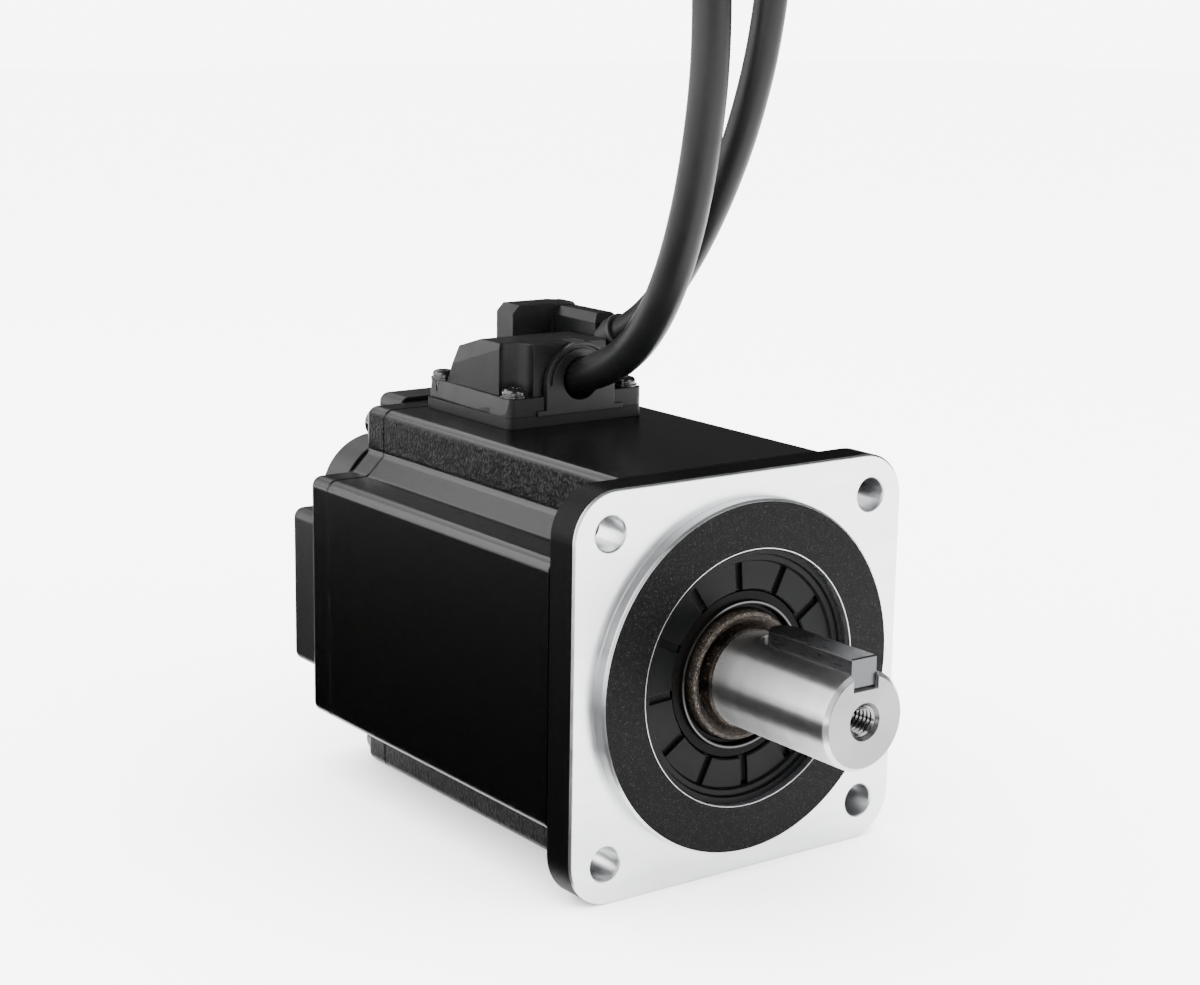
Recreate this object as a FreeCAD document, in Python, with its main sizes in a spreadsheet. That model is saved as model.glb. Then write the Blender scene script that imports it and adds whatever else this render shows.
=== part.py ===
import FreeCAD, Part
import math
import os
from types import SimpleNamespace

import Sketcher
from FreeCAD import Placement, Rotation, Vector

# An 80 mm frame servo motor.
# +X runs out along the shaft, +Z is up, and the origin is on the shaft axis in the flange's mounting face.
# Every station behind the mounting face is stored as a positive distance and used with a minus sign.

DIMENSIONS = {
    # front flange
    "flange_half": 40.0,
    "flange_thickness": 8.0,
    "flange_corner_radius": 9.5,
    "pilot_radius": 35.0,
    "pilot_height": 3.0,
    "pilot_bevel": 0.5,
    "front_recess_radius": 25.4,
    "front_recess_floor": 2.5,
    "mounting_hole_radius": 3.3,
    "mounting_hole_offset": 31.82,
    "mounting_hole_bevel": 0.3,
    "flange_front_bevel": 0.4,
    "flange_rear_bevel": 0.6,
    "flange_trough_floor": 1.5,
    "seal_stop_height": 2.4,
    # stator frame and the section it shares with the rear bracket
    "frame_length": 81.5,
    "frame_bore_radius": 36.5,
    "post_half_width": 26.2,
    "notch_corner": 30.3,
    "post_edge_radius": 2.3,
    "notch_fillet": 1.8,
    "spigot_radius": 36.4,
    "spigot_wall": 3.0,
    "front_spigot_length": 8.0,
    "rear_spigot_length": 5.0,
    "o_ring_groove_depth": 1.5,
    "o_ring_groove_width": 1.7,
    "o_ring_section_radius": 0.75,
    "front_o_ring_setback": 4.0,
    "rear_o_ring_advance": 3.2,
    "bracket_thickness": 8.0,
    "bracket_edge_radius": 2.1,
    "seam_bevel": 0.35,
    # tie bolts
    "tie_bolt_y": 21.8,
    "tie_bolt_z": 35.7,
    "tie_bolt_radius": 2.0,
    "tie_bolt_clearance": 0.15,
    "tie_bolt_depth": 6.0,
    "tie_bolt_head_radius": 3.5,
    "tie_bolt_head_height": 4.0,
    "tie_bolt_sink": 2.2,
    "tie_bolt_tip_gap": 0.5,
    "screw_sink_gap": 0.2,
    "screw_head_bevel": 0.35,
    # shaft
    "shaft_length": 35.0,
    "shaft_radius": 9.5,
    "shaft_chamfer": 0.8,
    "seal_seat_radius": 10.0,
    "seal_seat_end": 2.6,
    "shaft_core_radius": 12.5,
    "shaft_core_rear": 75.5,
    "rear_shoulder_radius": 9.2,
    "rear_journal_radius": 7.5,
    "encoder_journal_radius": 5.0,
    "encoder_journal_rear": 99.3,
    "end_thread_radius": 3.0,
    "end_thread_depth": 14.0,
    "end_thread_countersink": 0.65,
    # keyway and key
    "key_width": 6.0,
    "key_length": 25.0,
    "key_front": 34.2,
    "key_bottom": 6.2,
    "key_top": 12.0,
    "key_chamfer": 0.25,
    "keyway_floor": 5.9,
    "keyway_rear": 7.0,
    # front bearing
    "front_bearing_face": 8.0,
    "front_bearing_width": 14.0,
    "front_bearing_outer": 23.5,
    "front_bearing_land": 19.7,
    "front_bearing_shoulder": 13.9,
    "front_ball_radius": 3.97,
    "front_ball_pitch": 16.75,
    "front_cage_half": 4.8,
    "front_shield_gap": 5.6,
    # rear bearing
    "rear_bearing_face": 81.5,
    "rear_bearing_width": 11.0,
    "rear_bearing_outer": 17.5,
    "rear_bearing_land": 14.7,
    "rear_bearing_shoulder": 10.4,
    "rear_ball_radius": 2.98,
    "rear_ball_pitch": 12.5,
    "rear_cage_half": 3.7,
    "rear_shield_gap": 4.4,
    "race_clearance": 0.03,
    "cage_half_thickness": 0.95,
    "shield_thickness": 0.5,
    "shield_gap": 0.3,
    "bearing_boss_wall": 2.5,
    "preload_washer_height": 1.0,
    # oil seal and its cover ring
    "seal_bore_radius": 16.4,
    "seal_rear": 7.0,
    "seal_lip_clearance": 0.04,
    "seal_lip_radius": 12.6,
    "seal_rim_radius": 14.3,
    "cover_ring_rim_radius": 23.2,
    "cover_ring_rim_height": 1.4,
    "cover_ring_slot_width": 1.7,
    "cover_ring_slot_depth": 0.9,
    "cover_ring_slot_end": 22.4,
    # magnetic circuit
    "core_front": 24.0,
    "core_rear": 74.0,
    "yoke_inner_radius": 32.5,
    "tooth_half_width": 3.0,
    "tooth_tip_radius": 22.6,
    "tooth_tip_half_width": 5.2,
    "tooth_tip_thickness": 1.0,
    "tooth_neck_radius": 24.6,
    "bobbin_wall": 0.9,
    "bobbin_inner": 25.4,
    "bobbin_outer": 32.0,
    "coil_inner": 26.2,
    "coil_outer": 31.6,
    "coil_side": 2.3,
    "coil_end": 3.2,
    "rotor_core_radius": 19.2,
    "magnet_thickness": 2.6,
    "magnet_angle": 30.0,
    "balance_ring_radius": 18.5,
    "balance_ring_width": 1.4,
    # encoder
    "encoder_recess_radius": 28.0,
    "encoder_recess_depth": 2.2,
    "shaft_tunnel_radius": 6.5,
    "encoder_hub_radius": 9.0,
    "encoder_hub_length": 2.6,
    "encoder_disc_radius": 17.0,
    "encoder_disc_thickness": 0.8,
    "encoder_board_radius": 27.5,
    "encoder_board_face": 101.9,
    "encoder_board_thickness": 1.4,
    "standoff_circle": 24.5,
    "standoff_radius": 2.2,
    "hub_screw_radius": 1.25,
    "hub_screw_head": 2.6,
    # encoder cover
    "gasket_thickness": 0.3,
    "cover_depth": 9.4,
    "cover_half": 32.0,
    "cover_corner_radius": 13.0,
    "cover_bulge_half": 17.2,
    "cover_bulge_reach": 38.9,
    "cover_top_reach": 40.7,
    "cover_bulge_radius": 2.2,
    "cover_cavity_radius": 29.8,
    "cover_cavity_depth": 7.4,
    "cover_edge_radius": 1.4,
    "cover_screw_offset": 25.4,
    "cover_screw_radius": 1.5,
    "cover_screw_head": 2.75,
    "cover_screw_sink": 2.4,
    "cover_screw_clearance": 0.15,
    "cover_screw_head_gap": 0.3,
    "cover_screw_reach": 4.5,
    "cover_thread_depth": 5.0,
    # connector block on top of the frame
    "connector_front": 57.0,
    "connector_rear": 89.4,
    "connector_left": 15.8,
    "connector_right": 18.2,
    "connector_corner_radius": 1.6,
    "spacer_thickness": 2.3,
    "connector_flange_height": 3.9,
    "wire_window_front": 74.5,
    "wire_window_rear": 84.0,
    "wire_window_half": 7.6,
    "connector_screw_inset": 2.8,
    "connector_screw_radius": 1.45,
    "connector_screw_head": 2.35,
    "connector_screw_head_height": 1.5,
    "connector_washer_radius": 2.7,
    "connector_washer_height": 0.5,
    "connector_screw_depth": 3.4,
    # power connector housing
    "power_front": 58.0,
    "power_rear": 83.7,
    "power_top_rear": 71.4,
    "power_shoulder_rear": 79.8,
    "power_shoulder_height": 8.2,
    "power_left": 13.9,
    "power_right": 9.1,
    "power_height": 10.7,
    "power_wall": 1.8,
    "power_left_wall": 5.2,
    "screw_well_radius": 4.1,
    "pry_mark_front": 64.6,
    "pry_mark_rear": 86.1,
    "pry_mark_height": 1.1,
    "pry_mark_depth": 0.35,
    # gland of the power lead
    "gland_axis_y": 1.8,
    "gland_half_width": 8.6,
    "gland_arch_height": 6.1,
    "gland_front": 56.5,
    "gland_rear": 62.0,
    "gland_clearance": 0.75,
    "gland_side_gap": 0.35,
    "gland_ear_reach": 2.2,
    "gland_ear_height": 1.0,
    "gland_ear_rear": 58.5,
    "gland_room_depth": 5.0,
    "gland_ring_outset": 0.7,
    "gland_ring_inset": 1.3,
    "gland_ring_depth": 0.5,
    "power_lead_axis": 49.4,
    "power_lead_radius": 3.75,
    # encoder connector housing
    "encoder_housing_rear": 85.0,
    "encoder_block_front": 78.7,
    "encoder_arm_front": 62.8,
    "encoder_block_left": 0.5,
    "encoder_arm_left": 9.7,
    "encoder_right": 16.9,
    "encoder_block_height": 15.8,
    "encoder_arm_height": 15.2,
    "encoder_chamfer": 1.7,
    "encoder_wall": 1.8,
    "encoder_top_wall": 2.0,
    "encoder_well_left": 1.5,
    "encoder_well_right": 12.0,
    "encoder_screw_gap_radius": 3.1,
    "encoder_gland_radius": 4.2,
    "encoder_gland_length": 3.6,
    "encoder_lead_y": 13.4,
    "encoder_lead_axis": 56.2,
    "encoder_lead_radius": 3.25,
    # terminals
    "terminal_pin_radius": 0.8,
    "terminal_pitch": 4.0,
    "terminal_station": 76.2,
    "terminal_bottom": 37.0,
    "terminal_top": 50.0,
    # plugs on the leads
    "power_plug_length": 27.0,
    "power_plug_width": 17.0,
    "power_plug_depth": 12.0,
    "encoder_plug_length": 23.0,
    "encoder_plug_width": 15.0,
    "encoder_plug_depth": 10.0,
    "plug_collar_length": 4.0,
}

POLE_COUNT = 10
TOOTH_COUNT = 12
FRONT_BALL_COUNT = 9
REAR_BALL_COUNT = 8
COVER_RING_SLOT_COUNT = 12
COVER_RING_SLOT_START = 4.0
STANDOFF_COUNT = 3

# Outline edges lie farther from the shaft than these, and every other edge of the same face nearer.
FLANGE_RIM_REACH = 36.8
SECTION_RIM_REACH = 37.0
SHORTEST_RIM_EDGE = 6.0

# Three points in the sloping left side of the power connector's box.
POWER_SLOPE_POINTS = [
    (-63.2, -13.9, 56.0),
    (-79.8, -13.4, 54.6),
    (-81.6, -13.9, 50.3),
]
# A slab this wide and thick takes away all that stands outside a sloping side.
SLAB_WIDTH = 80.0
SLAB_THICKNESS = 12.0

# The leads' routes in millimetres: out of the gland towards +X, up, over in an arch and down to the plug.
POWER_LEAD_ROUTE = [
    (-59.5, 1.8, 49.0),
    (-48.0, 1.8, 52.5),
    (-37.7, 1.8, 58.7),
    (-29.7, 1.8, 68.1),
    (-23.6, 1.8, 80.6),
    (-18.8, 1.7, 96.8),
    (-15.6, 1.5, 117.4),
    (-16.4, 0.9, 143.3),
    (-23.0, -0.2, 164.3),
    (-35.3, -1.7, 180.0),
    (-52.5, -3.3, 190.0),
    (-72.3, -4.8, 192.5),
    (-91.6, -6.0, 186.9),
    (-106.2, -6.9, 175.0),
    (-115.2, -7.6, 161.7),
]
ENCODER_LEAD_ROUTE = [
    (-61.3, 13.4, 56.4),
    (-52.4, 13.5, 60.8),
    (-43.6, 13.7, 68.2),
    (-35.2, 13.9, 78.2),
    (-27.6, 14.1, 89.9),
    (-20.9, 14.3, 103.3),
    (-15.6, 14.7, 120.5),
    (-13.7, 15.4, 142.4),
    (-17.9, 16.4, 164.0),
    (-27.2, 17.6, 179.4),
    (-41.5, 18.9, 190.2),
    (-59.0, 20.3, 194.6),
    (-76.8, 21.5, 191.8),
    (-91.2, 22.5, 182.8),
    (-100.4, 23.3, 170.9),
]
BEND_SHARE = 0.45
"""How much of the shorter neighbouring run each bend of a lead may use."""

document = FreeCAD.newDocument("servo_motor")
sheet = document.addObject("Spreadsheet::Sheet", "dims")
for row, (name, size) in enumerate(DIMENSIONS.items(), start=1):
    sheet.set(f"A{row}", name)
    sheet.set(f"B{row}", str(size))
    sheet.setAlias(f"B{row}", name)
document.recompute()


class Size:
    """A length with its number and the sheet formula that drives it."""

    def __init__(self, value, formula):
        self.value = value
        self.formula = formula

    def __neg__(self):
        return Size(-self.value, f"-({self.formula})")

    def __add__(self, other):
        other = as_size(other)
        return Size(self.value + other.value, f"({self.formula} + {other.formula})")

    def __radd__(self, other):
        return as_size(other) + self

    def __sub__(self, other):
        other = as_size(other)
        return Size(self.value - other.value, f"({self.formula} - {other.formula})")

    def __rsub__(self, other):
        return as_size(other) - self

    def __mul__(self, factor):
        return Size(self.value * factor, f"({self.formula}) * ({factor:.9f})")

    __rmul__ = __mul__

    def __truediv__(self, divisor):
        return self * (1.0 / divisor)


def as_size(value):
    return value if isinstance(value, Size) else Size(float(value), f"({float(value)})")


d = SimpleNamespace(**{name: Size(value, f"dims.{name}") for name, value in DIMENSIONS.items()})
parts = []


def keep(item, label):
    """Names a finished sub-part; its label is its file name."""
    item.Label = label
    parts.append(item)
    return item


# ---------------------------------------------------------------- sketches and features


def origin_feature(body, role):
    return next(feature for feature in body.Origin.OriginFeatures if feature.Role == role)


def new_sketch(body, role, offset):
    sketch = body.newObject("Sketcher::SketchObject", "sketch")
    sketch.AttachmentSupport = [(origin_feature(body, role), "")]
    sketch.MapMode = "FlatFace"
    sketch.setExpression("AttachmentOffset.Base.z", as_size(offset).formula)
    return sketch


def hold_point(sketch, geometry, place, point):
    """Ties one point of a sketch element to the sketch's origin with two bound distances."""
    for kind, size in zip(("DistanceX", "DistanceY"), point):
        size = as_size(size)
        index = sketch.addConstraint(
            Sketcher.Constraint(kind, -1, 1, geometry, place, size.value)
        )
        sketch.setExpression(f"Constraints[{index}]", size.formula)


def add_outline(sketch, corners):
    """Adds a closed outline of straight lines through the corners."""
    first = sketch.GeometryCount
    count = len(corners)
    points = [Vector(as_size(a).value, as_size(b).value, 0) for a, b in corners]
    for index in range(count):
        line = Part.LineSegment(points[index], points[(index + 1) % count])
        sketch.addGeometry(line, False)
    for index in range(count):
        following = first + (index + 1) % count
        sketch.addConstraint(Sketcher.Constraint("Coincident", first + index, 2, following, 1))
    for index, corner in enumerate(corners):
        hold_point(sketch, first + index, 1, corner)


def add_circle(sketch, centre, radius):
    place = Vector(as_size(centre[0]).value, as_size(centre[1]).value, 0)
    circle = Part.Circle(place, Vector(0, 0, 1), radius.value)
    geometry = sketch.addGeometry(circle, False)
    index = sketch.addConstraint(Sketcher.Constraint("Radius", geometry, radius.value))
    sketch.setExpression(f"Constraints[{index}]", radius.formula)
    hold_point(sketch, geometry, 3, centre)


def new_body(label):
    return keep(document.addObject("PartDesign::Body", "body"), label)


def outline_sketch(body, role, corners, offset=0):
    sketch = new_sketch(body, role, offset)
    add_outline(sketch, corners)
    return sketch


def circles_sketch(body, role, circles, offset=0):
    sketch = new_sketch(body, role, offset)
    for centre, radius in circles:
        add_circle(sketch, centre, radius)
    return sketch


def swept(body, kind, sketch, length, backwards):
    """Pads or pockets a sketch; backwards runs against the sketch plane's normal."""
    feature = body.newObject(f"PartDesign::{kind}", kind.lower())
    feature.Profile = sketch
    feature.setExpression("Length", as_size(length).formula)
    feature.Reversed = backwards == (kind == "Pad")
    document.recompute()
    return feature


def pad(body, sketch, length, backwards=False):
    return swept(body, "Pad", sketch, length, backwards)


def pocket(body, sketch, length, backwards=True):
    return swept(body, "Pocket", sketch, length, backwards)


def spun(body, kind, sketch):
    """Revolves or grooves a sketch of the XZ plane about the shaft axis."""
    feature = body.newObject(f"PartDesign::{kind}", kind.lower())
    feature.Profile = sketch
    feature.ReferenceAxis = (sketch, ["H_Axis"])
    feature.Angle = 360
    document.recompute()
    return feature


def turned(label, outline):
    """A turned piece: its outline is pairs of station along the shaft and radius."""
    body = new_body(label)
    spun(body, "Revolution", outline_sketch(body, "XZ_Plane", outline))
    return body


def groove(body, outline):
    return spun(body, "Groove", outline_sketch(body, "XZ_Plane", outline))


def ball_groove(body, station, pitch, radius):
    sketch = circles_sketch(body, "XZ_Plane", [((station, pitch), radius)])
    return spun(body, "Groove", sketch)


def around_shaft(body, feature, count):
    """Repeats a feature evenly about the shaft axis."""
    pattern = body.newObject("PartDesign::PolarPattern", "pattern")
    pattern.Originals = [feature]
    pattern.Axis = (origin_feature(body, "X_Axis"), [""])
    pattern.Angle = 360
    pattern.Occurrences = count
    body.Tip = pattern
    document.recompute()
    return pattern


def edge_names(shape, wanted):
    return [f"Edge{index}" for index, edge in enumerate(shape.Edges, start=1) if wanted(edge)]


def edged(body, kind, size, wanted):
    """Rounds (Fillet) or bevels (Chamfer) the edges of the body's tip that match."""
    base = body.Tip
    feature = body.newObject(f"PartDesign::{kind}", kind.lower())
    feature.Base = (base, edge_names(base.Shape, wanted))
    feature.setExpression("Radius" if kind == "Fillet" else "Size", size.formula)
    document.recompute()
    return feature


def close(a, b):
    return abs(a - as_size(b).value) < 0.01


def runs_along(edge, axis):
    """Whether a straight edge is parallel to the given axis (0, 1 or 2)."""
    if len(edge.Vertexes) != 2:
        return False
    start, end = (vertex.Point for vertex in edge.Vertexes)
    across = [abs(start[i] - end[i]) for i in range(3) if i != axis]
    return max(across) < 0.01


def middle(edge):
    return edge.BoundBox.Center


def in_plane(edge, axis, station):
    """Whether an edge lies in the plane across the given axis at the station."""
    box = edge.BoundBox
    low = (box.XMin, box.YMin, box.ZMin)[axis]
    high = (box.XMax, box.YMax, box.ZMax)[axis]
    return close(low, station) and close(high, station)


# ---------------------------------------------------------------- primitives


def place_at(item, x, y, z):
    for axis, size in zip("xyz", (x, y, z)):
        item.setExpression(f"Placement.Base.{axis}", as_size(size).formula)


def rod(radius, low, high, y=0, z=0):
    """A cylinder along the shaft axis from one station to another."""
    item = document.addObject("Part::Cylinder", "rod")
    item.setExpression("Radius", as_size(radius).formula)
    item.setExpression("Height", as_size(high - low).formula)
    item.Placement = Placement(Vector(), Rotation(Vector(0, 1, 0), 90))
    place_at(item, low, y, z)
    return item


def post(radius, x, y, low, high):
    """An upright cylinder."""
    item = document.addObject("Part::Cylinder", "post")
    item.setExpression("Radius", as_size(radius).formula)
    item.setExpression("Height", as_size(high - low).formula)
    place_at(item, x, y, low)
    return item


def block(x, y, z):
    """A box from three (low, high) pairs."""
    item = document.addObject("Part::Box", "block")
    for side, (low, high) in zip(("Length", "Width", "Height"), (x, y, z)):
        item.setExpression(side, as_size(high - low).formula)
    place_at(item, x[0], y[0], z[0])
    return item


def spoke(radius, x, angle, low, high):
    """A cylinder that stands out from the shaft axis, from one distance to another."""
    item = document.addObject("Part::Cylinder", "spoke")
    item.setExpression("Radius", as_size(radius).formula)
    item.setExpression("Height", as_size(high - low).formula)
    item.Placement = Placement(Vector(), Rotation(Vector(1, 0, 0), angle))
    place_at(item, x, *around(low, angle))
    return item


def ball(radius, x, y, z):
    item = document.addObject("Part::Sphere", "ball")
    item.setExpression("Radius", as_size(radius).formula)
    place_at(item, x, y, z)
    return item


def hexagon(circumradius, low, high, y, z):
    item = document.addObject("Part::Prism", "hexagon")
    item.Polygon = 6
    item.setExpression("Circumradius", as_size(circumradius).formula)
    item.setExpression("Height", as_size(high - low).formula)
    item.Placement = Placement(Vector(), Rotation(Vector(0, 1, 0), 90))
    place_at(item, low, y, z)
    return item


def cut(base, tool):
    item = document.addObject("Part::Cut", "cut")
    item.Base = base
    item.Tool = tool
    return item


def fuse(*items):
    item = document.addObject("Part::MultiFuse", "fuse")
    item.Shapes = list(items)
    return item


def group(items):
    """Separate solids that share one node."""
    item = document.addObject("Part::Compound", "group")
    item.Links = list(items)
    return item


def bevel(item, size, wanted):
    """Chamfers the matching edges of a primitive or boolean."""
    document.recompute()
    chamfer = document.addObject("Part::Chamfer", "bevel")
    chamfer.Base = item
    chamfer.Edges = [
        (index, size.value, size.value)
        for index, edge in enumerate(item.Shape.Edges, start=1)
        if wanted(edge)
    ]
    return chamfer


def round_off(item, radius, wanted):
    document.recompute()
    fillet = document.addObject("Part::Fillet", "round")
    fillet.Base = item
    fillet.Edges = [
        (index, radius.value, radius.value)
        for index, edge in enumerate(item.Shape.Edges, start=1)
        if wanted(edge)
    ]
    return fillet


def around(radius, angle):
    """The Y and Z of a place on a circle about the shaft, at an angle in degrees from the top."""
    turn = math.radians(angle)
    return radius * -math.sin(turn), radius * math.cos(turn)


def all_signs(y, z):
    return [(sign_y * y, sign_z * z) for sign_y in (1, -1) for sign_z in (1, -1)]


def quarter_turns(corners):
    """Repeats a run of outline corners on all four sides."""
    outline = []
    for _ in range(4):
        outline.extend(corners)
        corners = [(-b, a) for a, b in corners]
    return outline


# ---------------------------------------------------------------- stations shared by several pieces

frame_front = -d.flange_thickness
frame_rear = frame_front - d.frame_length
bracket_rear = frame_rear - d.bracket_thickness
cover_front = bracket_rear - d.gasket_thickness
cover_rear = cover_front - d.cover_depth
front_bearing_front = -d.front_bearing_face
front_bearing_rear = front_bearing_front - d.front_bearing_width
front_bearing_middle = front_bearing_front - d.front_bearing_width / 2
rear_bearing_front = -d.rear_bearing_face
rear_bearing_rear = rear_bearing_front - d.rear_bearing_width
rear_bearing_middle = rear_bearing_front - d.rear_bearing_width / 2
washer_seat = rear_bearing_rear - d.preload_washer_height
front_o_ring_front = frame_front - d.front_o_ring_setback
rear_o_ring_front = frame_rear + d.rear_o_ring_advance
encoder_recess_floor = bracket_rear + d.encoder_recess_depth
connector_floor = d.flange_half + d.spacer_thickness
connector_deck = connector_floor + d.connector_flange_height
power_top = connector_deck + d.power_height
power_shoulder = connector_deck + d.power_shoulder_height
tie_bolt_places = all_signs(d.tie_bolt_y, d.tie_bolt_z)
cover_reaches = [d.cover_bulge_reach, d.cover_top_reach, d.cover_bulge_reach, d.cover_bulge_reach]
cover_screw_places = all_signs(d.cover_screw_offset, d.cover_screw_offset)
connector_screw_places = [
    (-d.connector_front - d.connector_screw_inset, -d.connector_left + d.connector_screw_inset),
    (-d.connector_rear + d.connector_screw_inset, -d.connector_left + d.connector_screw_inset),
    (-d.connector_front - d.connector_screw_inset, d.connector_right - d.connector_screw_inset),
    (-d.connector_rear + d.connector_screw_inset, d.connector_right - d.connector_screw_inset),
]


# ---------------------------------------------------------------- casings


def front_flange():
    body = new_body("front_flange")
    square = quarter_turns([(d.flange_half, d.flange_half)])
    pad(body, outline_sketch(body, "YZ_Plane", square), d.flange_thickness, backwards=True)
    edged(body, "Fillet", d.flange_corner_radius, lambda edge: runs_along(edge, 0))
    spigot_rear = frame_front - d.front_spigot_length
    boss_radius = d.front_bearing_outer + d.bearing_boss_wall
    solid_hub = [
        (d.pilot_height, 0),
        (d.pilot_height, d.pilot_radius),
        (frame_front, d.pilot_radius),
        (frame_front, d.spigot_radius),
        (spigot_rear, d.spigot_radius),
        (spigot_rear, boss_radius),
        (front_bearing_rear, boss_radius),
        (front_bearing_rear, 0),
    ]
    spun(body, "Revolution", outline_sketch(body, "XZ_Plane", solid_hub))
    lip = d.seal_bore_radius - d.seal_stop_height
    groove(body, [
        (d.pilot_height + 1, 0),
        (d.pilot_height + 1, d.front_recess_radius),
        (-d.front_recess_floor, d.front_recess_radius),
        (-d.front_recess_floor, d.seal_bore_radius),
        (-d.seal_rear, d.seal_bore_radius),
        (-d.seal_rear, lip),
        (front_bearing_front, lip),
        (front_bearing_front, d.front_bearing_outer),
        (front_bearing_rear - 1, d.front_bearing_outer),
        (front_bearing_rear - 1, 0),
    ])
    trough_radius = d.spigot_radius - d.spigot_wall
    groove(body, [
        (spigot_rear - 1, boss_radius),
        (spigot_rear - 1, trough_radius),
        (frame_front - d.flange_trough_floor, trough_radius),
        (frame_front - d.flange_trough_floor, boss_radius),
    ])
    groove(body, o_ring_groove(front_o_ring_front))
    hole_place = (d.mounting_hole_offset, d.mounting_hole_offset)
    hole_sketch = circles_sketch(body, "YZ_Plane", [(hole_place, d.mounting_hole_radius)])
    around_shaft(body, pocket(body, hole_sketch, d.flange_thickness + 1), 4)
    bolt_holes = [(place, d.tie_bolt_radius) for place in tie_bolt_places]
    bolt_sketch = circles_sketch(body, "YZ_Plane", bolt_holes, frame_front)
    pocket(body, bolt_sketch, d.tie_bolt_depth, backwards=False)
    edged(body, "Chamfer", d.pilot_bevel, lambda edge: is_ring(edge, d.pilot_height, d.pilot_radius))
    edged(body, "Chamfer", d.mounting_hole_bevel, lambda edge: is_ring(edge, 0, d.mounting_hole_radius))
    edged(body, "Chamfer", d.flange_front_bevel, lambda edge: on_rim(edge, 0))
    edged(body, "Chamfer", d.flange_rear_bevel, lambda edge: on_rim(edge, frame_front))


def is_ring(edge, station, radius):
    """A full circle of the given radius lying across the shaft."""
    return (
        in_plane(edge, 0, station)
        and isinstance(edge.Curve, Part.Circle)
        and close(edge.Curve.Radius, radius)
    )


def on_rim(edge, station):
    """An edge of the outer outline of a plate across the shaft."""
    centre = middle(edge)
    reach = max(abs(centre.y), abs(centre.z))
    on_outline = reach > FLANGE_RIM_REACH and edge.Length > SHORTEST_RIM_EDGE
    return in_plane(edge, 0, station) and on_outline


def o_ring_groove(front):
    """The outline of the groove for an O-ring in a spigot."""
    rear = front - d.o_ring_groove_width
    floor = d.spigot_radius - d.o_ring_groove_depth
    return [
        (front, floor),
        (front, d.spigot_radius + 1),
        (rear, d.spigot_radius + 1),
        (rear, floor),
    ]


def notched_section():
    """The frame's section: a square with a stepped and bevelled notch at each corner."""
    return quarter_turns([
        (d.flange_half, d.post_half_width),
        (d.notch_corner, d.post_half_width),
        (d.post_half_width, d.notch_corner),
        (d.post_half_width, d.flange_half),
    ])


def on_section(edge, first, second):
    """A lengthwise edge of the notched section at the given pair of offsets, in any corner."""
    if not runs_along(edge, 0):
        return False
    centre = middle(edge)
    offsets = sorted((abs(centre.y), abs(centre.z)))
    return close(offsets[0], first) and close(offsets[1], second)


def round_section(body):
    edged(
        body, "Fillet", d.post_edge_radius,
        lambda edge: on_section(edge, d.post_half_width, d.flange_half),
    )
    edged(
        body, "Fillet", d.notch_fillet,
        lambda edge: on_section(edge, d.post_half_width, d.notch_corner),
    )


def stator_frame():
    body = new_body("stator_frame")
    sketch = outline_sketch(body, "YZ_Plane", notched_section(), frame_front)
    pad(body, sketch, d.frame_length, backwards=True)
    round_section(body)
    bevel_seam(body)
    bore = circles_sketch(body, "YZ_Plane", [((0, 0), d.frame_bore_radius)], frame_front + 1)
    pocket(body, bore, d.frame_length + 2)
    bolt_clearance = d.tie_bolt_radius + d.tie_bolt_clearance
    holes = [(place, bolt_clearance) for place in tie_bolt_places]
    pocket(body, circles_sketch(body, "YZ_Plane", holes, frame_front + 1), d.frame_length + 2)
    window_left = d.gland_axis_y - d.wire_window_half
    window_right = d.gland_axis_y + d.wire_window_half
    window = outline_sketch(body, "XY_Plane", [
        (-d.wire_window_rear, window_left),
        (-d.wire_window_front, window_left),
        (-d.wire_window_front, window_right),
        (-d.wire_window_rear, window_right),
    ], d.flange_half + 1)
    pocket(body, window, 8)
    threads = [(place, d.connector_screw_radius) for place in connector_screw_places]
    threads_sketch = circles_sketch(body, "XY_Plane", threads, d.flange_half)
    pocket(body, threads_sketch, d.connector_screw_depth + 0.4)


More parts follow.
